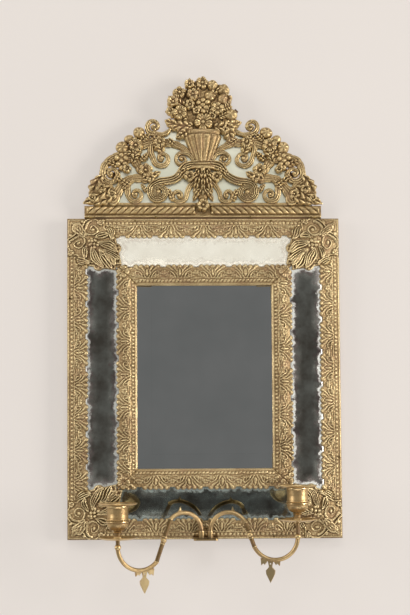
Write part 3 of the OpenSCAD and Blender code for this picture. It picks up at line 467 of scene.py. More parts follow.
def old_mirror(name, silver, dark, edge, rust):
    """An old mirror: cloudy silvering, rust spots, and a ragged fringe along the brass."""
    mat, shader, place = material(name)
    gap = add(mat, "Attribute", attribute_name="proud").outputs["Fac"]
    colour = ramp(mat, noise(mat, place, 38, 6.0, Roughness=0.62), (0.36, dark), (0.64, silver))
    # Rust spots: dense at the edge, few after 15 mm
    reach = remap(mat, gap, 2.0, 15.0, 0.34, -0.05)
    fox = calc(mat, "ADD", noise(mat, place, 7, 5.0, Roughness=0.7), reach)
    fox = ramp(mat, fox, (0.62, 0.0), (0.82, 0.75))
    colour = add(mat, "MixRGB", Fac=fox, Color1=colour, Color2=rust)
    # The fringe, where the silvering is gone: 1 to 6.5 mm wide, with a misty inner edge
    wide = remap(mat, noise(mat, place, 12, 7.0, Roughness=0.7), 0.4, 0.7, 1.0, 6.5)
    bare = remap(mat, calc(mat, "SUBTRACT", wide, gap), -1.8, 1.8, 0.0, 0.88)
    # Further in, a thinner haze comes and goes along the edge
    haze = remap(mat, noise(mat, place, 45, 5.0, Roughness=0.65), 0.42, 0.66, 0.0, 0.42)
    fall = remap(mat, gap, 3.0, 15.0, 1.0, 0.0)
    bare = calc(mat, "MAXIMUM", bare, calc(mat, "MULTIPLY", haze, fall))
    colour = add(mat, "MixRGB", Fac=bare, Color1=colour, Color2=edge)
    metal = calc(mat, "MULTIPLY_ADD", bare, -0.9, 1.0)
    rough = calc(mat, "MULTIPLY_ADD", bare, 0.3, 0.06)
    feed(mat, shader, {"Base Color": colour, "Metallic": metal, "Roughness": rough})
    return mat


glass_centre = mirror("Mirror glass, clear silvering", ("#dcdfdd", "#e6e8e6"), 0.03)
glass_crest = mirror("Mirror glass, greenish silvering", ("#d8dac6", "#e8e7d6"), 0.5)
# The three old strips are lit and shaded copies of one glass: the darker tints of the sides and the
# bottom are painted shade.
glass_top = old_mirror("Mirror glass, old, pale", "#ece9dc", "#e4e0d2", "#c4c0b2", "#d0c8ba")
glass_side = old_mirror("Mirror glass, old, side copy with painted shade", "#b9bab0", "#857f74", "#c9cdc8", "#9a8480")
glass_low = old_mirror("Mirror glass, old, bottom copy with deeper painted shade", "#98a098", "#605e56", "#7f8a86", "#5c564c")
print("an old mirror:", len(glass_top.node_tree.nodes), "nodes")

# %% [markdown]
# ### Wood and iron
# The carcase is softwood, brown with age, its grain drawn out along each board. The screws and the
# nails behind are dull iron.

# %% Wood and iron
def old_wood(name, dark, light, along):
    """Raw old softwood: grain drawn out along one axis."""
    mat, shader, place = material(name)
    drawn = add(mat, "Mapping", Vector=place, Scale=[0.06 if k == along else 1.0 for k in range(3)])
    grain = noise(mat, drawn, 3.5, 5.0, Distortion=0.4)
    colour = ramp(mat, grain, (0.3, dark), (0.7, light))
    bump = add(mat, "Bump", Height=grain, Strength=0.4, Distance=0.0003)
    feed(mat, shader, {"Base Color": colour, "Roughness": 0.75, "Normal": bump})
    return mat


wood_rail = old_wood("Softwood, raw, aged, grain across", "#3d2917", "#76563a", 0)
wood_stile = old_wood("Softwood, raw, aged, grain upright", "#3d2917", "#76563a", 2)

iron, iron_shader, iron_place = material("Iron, dull, oxidised")
oxide = ramp(iron, noise(iron, iron_place, 2, 2.0), (0.35, "#3b342e"), (0.7, "#6d6258"))
feed(iron, iron_shader, {"Base Color": oxide, "Metallic": 1.0, "Roughness": 0.55})
print("materials so far:", len(bpy.data.materials))

# %% [markdown]
# ## The borders
# Each border was cut from a long strip with a pattern that repeats every 47 mm: an egg in a rolled
# frame, four small leaves that fan out from it, a bead on each of five teeth, a scroll on either
# side, and between two groups a deep notch with a little flower under it. The strips start
# anywhere, so each side has its own shift.

# %% Outlines of the brass
# Where the middle of one group lies along each side
OUTER_AT = {"top": 0, "bottom": -PERIOD / 2, "left": -11, "right": -13}
INNER_AT = {"top": 12, "bottom": -PERIOD / 2, "left": 3, "right": 8}
# A corner plate's outline, in distances from the two sides, and the middles of its round lobes
CORNER = [(-1, -1), (-1, 56), (14, 56), (31, 72), (72.5, 81), (72.5, 72.5), (81, 72.5), (72, 31),
          (56, 14), (56, -1)]
CORNER_LOBES = [(22, 63), (47, 72), (63, 22), (72, 47)]
LOBE_R = 8


def polygon_inside(a, b, points):
    """Distance to a polygon's outline, positive inside."""
    best, inside = np.full(a.shape, FAR), np.zeros(a.shape, bool)
    for (ax, ay), (bx, by) in zip(points, points[1:] + points[:1]):
        ex, ey = bx - ax, by - ay
        t = np.clip(((a - ax) * ex + (b - ay) * ey) / (ex * ex + ey * ey), 0, 1)
        best = np.minimum(best, np.hypot(a - ax - t * ex, b - ay - t * ey))
        crosses = ((ay > b) != (by > b)) & (a < ax + (b - ay) * ex / (ey if ey else 1e-9))
        inside ^= crosses
    return np.where(inside, best, -best)


def corner_inside(x, z):
    """Distance to the outline of the nearest corner plate."""
    a, b = inwards(x, z)
    lobes = [LOBE_R - np.hypot(a - la, b - lb) for la, lb in CORNER_LOBES]
    return np.maximum.reduce([polygon_inside(a, b, CORNER)] + lobes)


def teeth(p, v):
    """The cut edge of one group: five round teeth and a notch."""
    p = repeat(p, PERIOD)
    k = np.clip(np.round(p / PITCH), -2, 2)
    tooth = TOOTH_R - np.hypot(p - k * PITCH, v - TOOTH_R)
    notch = TOOTH_R - np.hypot(abs(p) - 3 * PITCH, v - TOOTH_R - NOTCH)
    return np.maximum(np.maximum(tooth, notch), v - TOOTH_R)


def outer_inside(side, x, z):
    """Distance to the toothed edge of an outer border."""
    s, u = side_place(side, x, z)
    return teeth(s - OUTER_AT[side], OUTER_U - u)


def inner_inside(side, x, z):
    """Distance to the toothed edge of an inner border."""
    s, u = side_place(side, x, z)
    return teeth(s - INNER_AT[side], u - INNER_U)


print("pattern repeats every", round(PERIOD, 1), "mm")

# %% [markdown]
# The pattern of one group is drawn in two coordinates: p along the border from the middle of the
# group, and v inwards from the tips of the teeth. Both are shaken a little by the random field.

# %% Pattern of a border
def group(p, v):
    """Height of the leaf pattern; m is the distance from its middle, on either side."""
    p = repeat(p, PERIOD)
    m = abs(p)
    stamps = [(2.4 * crown(np.hypot(p / 2.1, (v - 12) / 6)), v),
              stroke(m, v, [(2.0, 20), (4.4, 15), (4.2, 9), (1.2, 4.5)], 2.0, 1.6, 2.0, 1.6)]
    # The small leaves run from the egg to the teeth, and each tooth ends in a bead
    for k in (-2, -1, 1, 2):
        stem = bezier([(k * 2.6, 13 + abs(k)), (k * 3.4, 9), (k * 6.6, 8), (k * PITCH, 2.2)], 7)
        stamps.append(stroke(p, v, stem, 1.7, 4.2, 1.3, 2.2, "rolled"))
    stamps += [knob(p, v, (k * PITCH, 2.8), 2.6, 1.8) for k in (-2, -1, 0, 1, 2)]
    # An open scroll with leaves on its back fills each half
    scroll = bezier([(7, 19.5), (8.5, 11), (17.5, 7.5), (17.5, 13.5)], 9)
    curl = bezier([(17.5, 13.5), (17.3, 18), (12, 18), (12.6, 14)], 7)
    stamps += [stroke(m, v, scroll, 2.4, 1.8, 2.2, 1.9), stroke(m, v, curl, 1.8, 1.6, 1.9, 2.1),
               leaf(m, v, (8, 19.6), (22, 16.8), 4.4, 2.0, 4, -0.8),
               leaf(m, v, (19, 15), (23, 7.4), 4.2, 2.1, 2, 0.6)]
    # The little flower under the notch, and a line that closes the pattern
    stamps += [flower(p - np.sign(p) * 3 * PITCH, v, (0, 12.4), 3.4, 2.2, 4, 45),
               (1.1 * crown((v - 20.4) / 0.9), v)]
    return lay(stamps)[0]


def shaken(s, u, seed):
    """Both coordinates of a border, shaken by about half a millimetre."""
    return s + 0.55 * wobble(s, u, 17, seed), u + 0.4 * wobble(s, u, 13, seed + 1)


print("relief of a group:", group(*np.mgrid[-24:24:0.5, 0:20:0.5]).max().round(1), "mm")

# %% [markdown]
# The outer border adds a roll on the frame's edge and a row of pearls, the inner border a row of
# beads and a lip. Both stop at the mitres, the outer one at the corner plates too.

# %% Fields of the borders
# The bottom border is cut away round the bracket of the candle arms
BRACKET_HALF, BRACKET_U = 17.7, 4.2
PEARLS = 5.925


def outer_field(side, seed):
    """The field of an outer border."""
    def field(x, z):
        s, u = side_place(side, x, z)
        inside = np.minimum.reduce([outer_inside(side, x, z), to_mitre(side, s, u),
                                    -0.2 - corner_inside(x, z), u])
        if side == "bottom":
            inside = np.minimum(inside, np.maximum(abs(x) - BRACKET_HALF, u - BRACKET_U))
        p, w = shaken(s, u, seed)
        height = lay([(group(p - OUTER_AT[side], OUTER_U - w), u),
                      (1.8 * crown(np.hypot(repeat(p, PEARLS), u - 7.3) / 2.4), u),
                      (0.7 * crown((u - 11) / 0.6) + 0.9 * crown((u - 1.6) / 1.6), u)])[0]
        return (height + matting(x, z, seed + 2)) * ease(u / 1.5), inside
    return field


def inner_field(side, seed):
    """The field of an inner border."""
    def field(x, z):
        s, u = side_place(side, x, z)
        inside = np.minimum.reduce([inner_inside(side, x, z), to_mitre(side, s, u) + 0.02, OPEN_U - u])
        p, w = shaken(s, u, seed)
        v = w - INNER_U
        if side in ("top", "bottom"):
            beads = 2.0 * crown((v - 24.2) / 2.2) * abs(np.sin(math.pi * (s / 5.3 + 0.12 * v))) ** 0.6
        else:
            beads = np.maximum(2.2 * crown(np.hypot(repeat(s, 2 * PITCH), v - 24) / 2.3),
                               1.4 * crown(np.hypot((s + 2.6) % 5.27 - 2.63, v - 24.6) / 1.9))
        vein = 0.8 * crown((v - 20.2) / 1.2) * abs(np.sin(math.pi * (s / 7.9 - 0.2 * v))) ** 0.5
        height = lay([(np.where(v < 20.5, group(p - INNER_AT[side], v), 0), u), (vein, u),
                      (beads, u), (crown((u - 100.6) / 1.8), u)])[0]
        # A rosette sits on each inner corner, with a rolled ring on either side of it
        a, b = inwards(x, z)
        corner = lay([flower(a, b, (83, 83), 9.5, 3.4, 4), ring(a, b, (76, 92), 4, 1.4, 2.4),
                      ring(a, b, (92, 76), 4, 1.4, 2.4)])
        height = np.where(np.hypot(a - 83, b - 83) < 14, corner[0], height)
        return height + matting(x, z, seed + 2) * ease((OPEN_U - 5 - u) / 3), inside
    return field


print("pearls along the top:", round(FRAME_W / PEARLS))

# %% [markdown]
# The strips are laid on the slope. Outer borders are turned down over the frame's side to the wall,
# and inner borders are turned in to the centre glass.

# %% Borders
def side_box(side, u0, u1):
    """The box in x and z of a side's strip from u0 to u1."""
    w, h = HALF_W, HALF_H
    return {"top": (u0 - w, h - u1, w - u0, h - u0), "bottom": (u0 - w, u0 - h, w - u0, u1 - h),
            "left": (u0 - w, u0 - h, u1 - w, h - u0), "right": (w - u1, u0 - h, w - u0, h - u0)}[side]


def flange(x, z):
    """The surface behind an outer border, with its turned-down side."""
    return np.where(np.minimum(*inwards(x, z)) < 0.5, 0.2, cushion(x, z))


def glass_lip(x, z):
    """The surface behind an inner border, with its lip."""
    return np.where(np.minimum(*inwards(x, z)) > OPEN_U - 0.5, GLASS_D, cushion(x, z))


SIDES = ("top", "bottom", "left", "right")
for n, side in enumerate(SIDES):
    outer = emboss("Outer_border_" + side, side_box(side, 0, OUTER_U), outer_field(side, 10 + 5 * n),
                   cushion, flange)
    dress(outer, "frame", brass_sheet, "sheet_brass", "outer_border_" + side)
    inner = emboss("Inner_border_" + side, side_box(side, INNER_U, OPEN_U),
                   inner_field(side, 40 + 5 * n), cushion, glass_lip)
    dress(inner, "frame", brass_sheet, "sheet_brass", "inner_border_" + side)
print("faces on an outer border:", len(outer.data.polygons))

# %% [markdown]
# ## The corner plates
# A corner plate hides the mitre and the ends of two borders. Its punches are larger: a bold leaf on
# the outer corner, round scrolls, plumes of rolled ribs, and a boss among berries. They are drawn in
# the distances a and b from two sides of the frame, and laid again with a and b exchanged.

# %% Corner plates
PLATE = 81.5


def c_scroll(a, b, at, r, start, turn, wide):
    """A rolled ridge that curls in to an eye."""
    t = np.arange(35) / 34
    reach, angle = r * (1 - 0.68 * t), np.radians(start + turn * t)
    path = np.column_stack([at[0] + reach * np.cos(angle), at[1] + reach * np.sin(angle)])
    return [stroke(a, b, path, wide, wide * 0.55, 3.4, 2.4, "rolled"), knob(a, b, at, r * 0.22, 3.2)]


def plume(a, b, root, tip, spread, n, wide, high, bend):
    """A plume: n ribs that part from one root and close to one tip."""
    way = np.subtract(tip, root)
    perp = np.array([-way[1], way[0]]) / np.hypot(*way)
    ribs = []
    for share in np.arange(n) / (n - 1) - 0.5:
        belly = perp * (spread * share + bend)
        end = np.add(tip, perp * spread * 0.4 * share) - way * 0.16 * abs(share)
        path = bezier([root, root + 0.3 * way + belly, root + 0.75 * way + belly, end], 9)
        ribs.append(stroke(a, b, path, 1.8, wide, high * 0.8, high))
    return ribs


# Root, tip, spread, number of ribs, width and height of a rib, and bend
PLUMES = (((30, 27), (9, 13), 13, 4, 3.6, 4.2, 1), ((8, 56), (34, 69), 12, 4, 3.4, 4, 2),
          ((31, 42), (27, 60), 9, 3, 3.4, 4, 3), ((37, 44), (52, 76), 12, 4, 3.6, 4.2, 4),
          ((48, 54), (66, 78), 10, 3, 3.4, 4, -1), ((54, 54), (74, 74), 5, 2, 3.4, 4.2, 2))


def half_corner(a, b):
    """The punches on one side of the plate's diagonal."""
    stamps = c_scroll(a, b, (17, 38), 12.5, 190, 440, 4.6)
    stamps += c_scroll(a, b, (39, 66), 6.5, 60, -420, 3.4)
    # A second rolled line runs round the back of the large scroll
    arc = [(17 + 16.5 * math.cos(t), 38 + 16.5 * math.sin(t)) for t in np.arange(2.2, 4.9, 0.18)]
    stamps += [stroke(a, b, arc, 2.4, 3.0, 2.6, 3.0), flower(a, b, (5.5, 51), 4.6, 3.2, 5),
               knob(a, b, (5.5, 23), 2.8, 3), knob(a, b, (33, 36), 2.6, 3.4)]
    for row in PLUMES:
        stamps += plume(a, b, *row)
    return stamps + [knob(a, b, (46 + 5.4 * i, 76.5 + 0.8 * i), 2.2, 2.4) for i in range(4)]


def corner_field(seed):
    """The field of a corner plate."""
    def field(x, z):
        a, b = inwards(x, z)
        inside = np.minimum.reduce([corner_inside(x, z), a, b])
        da, db = a + 1.1 * wobble(x, z, 27, seed), b + 1.1 * wobble(x, z, 25, seed + 1)
        # On the diagonal lie the bold leaf, the boss and the berries
        stamps = half_corner(da, db) + half_corner(db, da)
        stamps += [leaf(da, db, (28, 28), (6, 6), 9, 4.6, 3), knob(da, db, (51, 51), 4.6, 4.6, 8)]
        for at in ((36, 36), (41, 35), (35, 41), (40.5, 41), (46, 42), (41, 46)):
            stamps.append(knob(da, db, at, 2.7, 3.6))
        height = lay(stamps)[0] + matting(x, z, seed + 2)
        # A raised welt follows the inner outline
        height = np.maximum(height, 1.8 * crown((inside - 1.6) / 1.2) * (np.minimum(a, b) > 2))
        return height * ease(np.minimum(a, b) / 1.5), inside
    return field


for n, (name, sx, sz) in enumerate((("top_left", -1, 1), ("top_right", 1, 1),
                                    ("bottom_left", -1, -1), ("bottom_right", 1, -1))):
    xs = sorted((sx * HALF_W, sx * (HALF_W - PLATE)))
    zs = sorted((sz * HALF_H, sz * (HALF_H - PLATE)))
    plate = emboss("Corner_plate_" + name, (xs[0], zs[0], xs[1], zs[1]), corner_field(70 + 3 * n),
                   cushion, flange)
    dress(plate, "frame", brass_sheet, "sheet_brass", "corner_plate_" + name)
print("faces on a corner plate:", len(plate.data.polygons))

# %% [markdown]
# ## The side mirrors
# Four thin mirrors lie on the slope under the edges of the brass, with mitred ends under the
# corner plates. Their grid is coarser: it only carries the distance to the brass edge.

# %% Side mirrors
# A strip's two edges as distances u, its thickness, and the gap at its mitres
STRIP_U0, STRIP_U1, STRIP_THICK, MITRE_GAP = 26.4, 77.1, 3, 0.85

# Each strip takes the copy tinted for its side: darker as painted shade at the sides, darkest at the
# bottom.
for side, surface in zip(SIDES, (glass_top, glass_low, glass_side, glass_side)):
    def glass_field(x, z):
        s, u = side_place(side, x, z)
        ends = np.minimum(to_mitre(side, s, u) - MITRE_GAP, np.minimum(u - STRIP_U0, STRIP_U1 - u))
        return np.zeros(x.shape), ends

    def to_brass(x, z):
        brass_at = [outer_inside(side, x, z), inner_inside(side, x, z), corner_inside(x, z)]
        return np.clip(-np.maximum.reduce(brass_at), -2, 60)

    pane = emboss("Side_mirror_" + side, side_box(side, 26, 77.5), glass_field,
                  lambda x, z: cushion(x, z) - SHEET, lambda x, z: cushion(x, z) - STRIP_THICK,
                  mark=to_brass, cell=2 * CELL)
    dress(pane, "frame", surface, "mirror_glass", "side_mirror_" + side)
print("faces on a side mirror:", len(pane.data.polygons))

# %% [markdown]
# ## The crest
# The crest is a vase of flowers between scrolls, struck high and then sawn through, so that the
# mirror behind shows in the gaps. One half is drawn, with m counted from the middle and z up from
# the frame's top, and folded over; only the bunch of flowers differs from side to side. The main
# lines are volutes: a band swings in and winds up to an eye.

# %% Volutes and grapes
def volute(m, z, points, centre, r, start, turn, wide, high, section, root):
    """A band that curves in from its root, root mm wide, and winds up to an eye."""
    t = np.linspace(0.04, 1, max(14, int(abs(turn) / 16)))[:, None]
    angle = np.radians(start + turn * t)
    coil = np.asarray(centre) + r * (1 - 0.72 * t) * np.hstack([np.cos(angle), np.sin(angle)])
    lead = bezier(points)
    low = high * 0.8
    if section == "leafy":
        bands = [stroke(m, z, lead, root, wide, high, high, "leafy"),
                 stroke(m, z, np.vstack([lead[-2:], coil]), wide, wide * 0.45, high, low, "rolled")]
    else:
        bands = [stroke(m, z, np.vstack([lead, coil]), root, wide * 0.55, high, low, section)]
    return bands + [knob(m, z, centre, r * 0.26, high * 1.05)]


def berries(x, z, at, r, high):
    """A bunch of grapes."""
    places = ((0, 1.5), (-1.5, 0.6), (1.5, 0.6), (0, -0.3), (-1.1, -1.3), (1.1, -1.3), (0, -2.4))
    return [knob(x, z, (at[0] + dx * r, at[1] + dz * r), r, high * (0.8 + 0.1 * (i % 3)))
            for i, (dx, dz) in enumerate(places)]


print("grapes in a bunch:", len(berries(0, 0, (0, 0), 1, 1)))

# %% [markdown]
# The tables hold what is drawn on one half. Their order doesn't matter, only the heights do: broad
# bands lie low, and leaves, flowers and fruit ride over them.

# %% Scrolls, leaves and fruit
# Path, eye, radius, start and turn in degrees, width, height, section, width at the root
VOLUTES = (
    ([(6, 80), (44, 84), (16, 57), (65, 55)], (65, 40), 14.5, 90, -560, 13, 6, "strap", 15),
    ([(12, 80), (14, 96), (22, 99), (31, 98.5)], (31, 88.5), 10, 90, -430, 7.5, 5, "rolled", 7.5),
    ([(70, 118), (80, 114), (78, 100), (73, 90)], (60, 90), 13, 0, -430, 9, 5, "rolled", 10),
    ([(46, 136), (54, 124), (64, 124), (72, 127)], (72, 138), 11, 270, 430, 9.5, 6, "leafy", 6),
    ([(116, 92), (130, 94), (146, 88), (148, 67)], (135, 67), 13, 0, -450, 10, 6, "leafy", 15),
    ([(90, 62), (106, 66), (114, 54), (110.5, 36)], (99, 36), 11.5, 0, -450, 9, 5, "leafy", 10),
    ([(10, 58), (16, 54), (22, 46), (25, 35)], (36, 35), 11, 180, 430, 8, 4.5, "rolled", 9))
# Path, both widths, both heights
BANDS = (([(20, 98), (34, 114), (52, 114), (70, 114)], 8, 15, 4.4, 6),
         ([(64, 112), (84, 120), (92, 106), (108, 102)], 16, 15, 6, 4.6),
         ([(84, 66), (100, 80), (100, 98), (120, 88)], 13, 16, 5, 6),
         ([(86, 58), (108, 66), (120, 54), (132, 28)], 12, 18, 4.4, 6),
         ([(130, 30), (134, 44), (142, 52), (150, 56)], 15, 13, 4.4, 4.4))
# Root, tip, width, height, bend
LEAVES = (
    ((60, 98), (75, 124), 20, 7, 1), ((90, 58), (63, 70), 15, 7, 1),
    ((104, 82), (91, 106), 15, 7.4, -1), ((148, 64), (163, 27), 21, 7, 4),
    ((136, 48), (177, 23), 21, 7.4, -3), ((126, 36), (163, 22), 18, 6.4, -1),
    ((44, 26), (53, 45), 11, 5.4, 1), ((22, 76), (40, 62), 9, 7.2, 1),
    ((96, 94), (118, 98), 12, 7.6, 1), ((92, 86), (80, 100), 11, 7.4, 1),
    ((126, 78), (146, 86), 11, 7.6, 1), ((112, 50), (128, 64), 11, 7.2, -1),
    ((52, 120), (36, 108), 10, 6.6, 1), ((118, 44), (106, 58), 9, 6.8, 1),
    ((84, 40), (92, 52), 8, 5.6, 1), ((132, 54), (122, 70), 10, 6.6, 1),
    ((90, 116), (78, 128), 12, 7.6, 1))
# Place, radius, petals, height
BLOOMS = (((99, 109), 11.5, 6, 8.4), ((84, 72), 11, 6, 8.4), ((78, 60), 6.5, 5, 7.4),
          ((64, 114), 9, 5, 8.4), ((20, 63), 9, 5, 7.8), ((150, 44), 8, 5, 8.4),
          ((134, 36), 7, 5, 7.8), ((163, 31), 6.5, 5, 8), ((112, 74), 6.5, 5, 8))
# Place, radius, height, ribs
FRUIT = (((94, 128), 9.5, 9, 6), ((119, 106), 9.5, 8.6, 6), ((109, 118), 7, 7.4, 0))


def crest_half(m, z):
    """The punches of one half of the crest."""
    stamps = berries(m, z, (120, 87), 4.6, 8.4)
    for row in VOLUTES:
        stamps += volute(m, z, *row)
    stamps += [stroke(m, z, bezier(points), *sizes, "leafy") for points, *sizes in BANDS]
    stamps += [leaf(m, z, root, tip, wide, high, 4, bend) for root, tip, wide, high, bend in LEAVES]
    stamps += [flower(m, z, at, r, high, petals, at[0]) for at, r, petals, high in BLOOMS]
    return stamps + [knob(m, z, *row) for row in FRUIT]


print("leaves on one half:", len(LEAVES))

# %% [markdown]
# The bunch rests on a mound, so that no gap opens in it. Leaves look out from under the flowers.

# %% Bunch of flowers
# Place, radius
POSY = ((0, 202, 10), (-19, 200, 8), (15, 199, 8), (31, 192, 10), (-34, 187, 10), (-44, 173, 9),
        (36, 177, 9), (22, 163, 10), (-33, 157, 11), (42, 155, 10), (1, 143, 14), (-15, 184, 9),
        (12, 183, 9), (-19, 169, 8), (30, 177, 8), (-48, 160, 7), (-9, 160, 6), (14, 152, 6))
# Which of them are fruit
PLUMP = (2, 3, 9, 12, 14)
# Root, tip, width, bend
POSY_LEAVES = (
    ((-14, 136), (-56, 147), 24, 3), ((-22, 148), (-56, 160), 18, -2),
    ((16, 136), (58, 145), 24, -3), ((32, 146), (43, 111), 24, 2),
    ((-16, 136), (-40, 120), 18, 1), ((8, 152), (16, 172), 12, 1),
    ((-4, 174), (-28, 192), 12, 1), ((26, 162), (45, 168), 14, 1),
    ((-22, 164), (-50, 184), 16, 1), ((12, 176), (26, 202), 12, 1),
    ((-6, 180), (-10, 206), 12, 1), ((24, 150), (45, 160), 12, -1))


def lifted(stamp, by):
    """Raises a stamp on a foot of its own outline."""
    return np.where(stamp[0] > 0, stamp[0] + by, 0), stamp[1]


def bouquet(x, z):
    """The flowers, fruit and leaves in the vase."""
    mound = np.hypot(x / 50, (z - 164) / 44)
    stamps = [(np.where(mound < 0.86, 4.5 * crown(mound), 0), (0.82 - mound) * 45)]
    for i, (fx, fz, r) in enumerate(POSY):
        stamp = (knob(x, z, (fx, fz), r * 0.95, 7, 5) if i in PLUMP
                 else flower(x, z, (fx, fz), r, 7, 5 + i % 2, 31 * i))
        stamps.append(lifted(stamp, 2.5 + 1.6 * (i % 3) * (r > 7)))
    stamps += [lifted(grape, 3.4) for grape in berries(x, z, (1, 170), 4.4, 7)]
    return stamps + [lifted(leaf(x, z, root, tip, wide, 6.5, 5, bend), 2)
                     for root, tip, wide, bend in POSY_LEAVES]


print("flowers and fruit:", len(POSY))

# %% [markdown]
# The vase is half of a turned form: its height follows a half circle whose radius changes with z.
# Its flutes are set out by angle, so they crowd at the sides. Under it hangs a drop of leaves.

# %% Vase and drop
VASE_FOOT, VASE_TOP = 74.2, 131.4
# Share of the height, radius
PROFILE = ((0, 19), (0.06, 19), (0.08, 13), (0.15, 13), (0.17, 11.5), (0.4, 18), (0.65, 24),
           (0.8, 27.5), (0.86, 27.5), (0.88, 26), (1, 27))


def vase(x, z):
    """The fluted vase in half round, on its stepped foot."""
    t = (z - VASE_FOOT) / (VASE_TOP - VASE_FOOT)
    r = np.interp(t, *zip(*PROFILE))
    k = np.clip(x / r, -1, 1)
    flute = np.where((t > 0.19) & (t < 0.86), 2.6 * abs(np.cos(7 * np.arccos(k))) ** 0.6 - 0.6, 0)
    welt = (1.4 * crown((t - 0.93) / 0.05) + 1.2 * crown((t - 0.03) / 0.03)
            + 1.2 * crown((t - 0.12) / 0.03))
    inside = np.minimum(r - abs(x), np.minimum(z - VASE_FOOT, VASE_TOP - z))
    return np.where(inside > 0, 1 + (10 * r / 27 + flute + welt) * np.sqrt(1 - k * k), 0), inside


def drop(x, z):
    """Leaves that hang from the vase's foot down to the rail."""
    stamps = [stroke(x, z, [(0, 16), (0, 36), (0, 58), (0, 78)], 12, 22, 4, 5),
              leaf(x, z, (0, 74), (0, 32), 9, 9.6, 5), flower(x, z, (0, 20), 10, 8, 6, 15),
              knob(x, z, (0, 73), 4.5, 9)]
    for m in (x, -x):
        stamps += [leaf(m, z, (4, 68), (13, 34), 11, 8.4, 4, 1),
                   leaf(m, z, (3, 44), (15, 26), 10, 7.4, 3, 1),
                   leaf(m, z, (6, 74), (21, 54), 10, 7.8, 3, -1)]
    return stamps


print("vase:", round(VASE_TOP - VASE_FOOT, 1), "mm high")

# %% [markdown]
# Now all stamps are laid together. Where none lies the sheet is open, and the mirror shows.

# %% Relief of the crest
# The front of the crest mirror, on which the relief lies
CREST_BASE = 14.7


def crest_field(x, z):
    """The whole crest above its rail."""
    up = z - CREST_Z
    wx, wz = x + 0.5 * wobble(x, up, 31, 5), up + 0.5 * wobble(x, up, 29, 6)
    # A narrow strip along the rail joins the feet of all scrolls
    foot = np.minimum(np.minimum(up - 20, 24 - up), 150 - abs(x))
    stamps = crest_half(abs(wx), wz) + [vase(x, up)] + bouquet(wx, wz) + drop(x, up)
    height, inside = lay(stamps + [(np.where(foot > 0, 1.0, 0), foot)])
    return height + 0.14 * wobble(x, z, 3.0, 8) * (height > 1), inside


def flat(depth):
    """A flat surface at one distance from the wall."""
    return lambda x, z: np.full(x.shape, depth)


relief = emboss("Crest_relief", (-180, CREST_Z + 8, 180, CREST_Z + 211.2), crest_field,
                flat(CREST_BASE), flat(CREST_BASE - 0.1), closed=True)
dress(relief, "frame", brass_crest, "sheet_brass", "crest_relief")
print("crest relief:", len(relief.data.polygons), "faces")

# %% [markdown]
# The rail under the crest is a flat strip with a rope on it. The rope is twisted the other way on
# each half, so all strands lean in towards the middle. A sharp crease parts them.

# %% Base rail
# Half its length, its height, that of its foot, and its distance from the wall
RAIL_HALF, RAIL_H, RAIL_FOOT, RAIL_D = 175, 20, 2.6, 12.2
# The rope: middle's height, radius, start beside the middle, length of a strand
ROPE_Z, ROPE_R, ROPE_FROM, STRAND = 13.4, 6.0, 11, 10.25


def rail_field(x, z):
    """The field of the rail."""
    up = z - CREST_Z
    k = (up - ROPE_Z) / ROPE_R
    out = abs(x) - ROPE_FROM
    strand = abs(np.sin(math.pi * (out / STRAND + 0.55 * k + 0.06 * wobble(x, z, 30, 21))))
    end = ease(out / 2) * ease((RAIL_HALF - 1 - abs(x)) / 4)
    rope = ROPE_R * crown(k) * (0.4 + 0.6 * strand ** 0.6) * end
    line = 0.6 * crown(up - RAIL_H + 1)
    inside = np.minimum(np.minimum(RAIL_HALF - abs(x), up - 0.2), RAIL_H - up)
    # The strip's foot is turned in to the wood, which leaves a dark line over the frame: real shade in
    # the fold, and painted shade too, as the fold's low wear value gives it the darkest dirt colour.
    height = np.where(up < RAIL_FOOT, -8.2, np.maximum(rope, line) + 0.1 * wobble(x, z, 3.4, 9))
    return height, inside


rail = emboss("Crest_rail", (-RAIL_HALF, CREST_Z + 0.2, RAIL_HALF, CREST_Z + RAIL_H), rail_field,
              flat(RAIL_D), flat(4.4))
dress(rail, "frame", brass_crest, "sheet_brass", "crest_rail")
print("rail:", round(2 * (RAIL_HALF - ROPE_FROM) / STRAND), "strands")

# %% [markdown]
# ## Pieces that keep their CAD shape
# The carcase, the boards, the flat mirrors and the arms are exact already. They only get a material.

# %% Materials on the CAD pieces
CAD_FINISH = {
    wood_rail: ("frame_rail_top", "frame_rail_bottom", "back_board", "mirror_backing", "crest_board"),
    wood_stile: ("frame_stile_left", "frame_stile_right", "crest_brace", "crest_batten_left",
                 "crest_batten_right"),
    glass_centre: ("centre_mirror",),
    glass_crest: ("crest_mirror",),
    iron: ("batten_screws", "board_nails", "hanger_screws", "bracket_screws"),
    brass_dark: ("hanger_plate", "arm_bracket"),
    brass_nail: ("border_nails", "crest_nails"),
    brass_cast: [part + side for part in ("arm_", "drip_pan_", "candle_cup_", "drip_ring_")
                 for side in ("left", "right")],
}
for surface, names in CAD_FINISH.items():
    for name in names:
        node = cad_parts[name]
        node.data.materials.clear()
        node.data.materials.append(surface)
print("finishes used:", len(CAD_FINISH))

# %% [markdown]
# ## Wall and light
# What matters most is what the metal and the glass can see. The centre mirror looks straight ahead
# at a dim room and the top strip up at a large soft lamp. No lamp stands where a dark strip looks,
# to the sides or down. Lamps far out at the sides rake over the relief, weak ones soften its
# shadows, and one behind the wall lights the back.

# %% Wall
# In metres: the gap behind the mirror, and the length below which a ray passes the wall
WALL_GAP, NEAR_WALL = 0.0005, 0.004
wall_mesh = bpy.data.meshes.new("Wall")
wall_mesh.from_pydata([(x, WALL_GAP, z) for x, z in ((-4, -3), (4, -3), (4, 3.5), (-4, 3.5))],
                      [], [(0, 1, 2, 3)])
wall = linked("Wall", wall_mesh)
paint, paint_shader, paint_place = material("Wall paint, matt, pale")
paint_tone = add(paint, "TexNoise", Vector=paint_place, Scale=3.0)
paint_tone = ramp(paint, paint_tone, (0.3, "#e3dcd6"), (0.7, "#e6dfd9"))
feed(paint, paint_shader, {"Base Color": paint_tone, "Roughness": 0.9, "Specular IOR Level": 0.2})
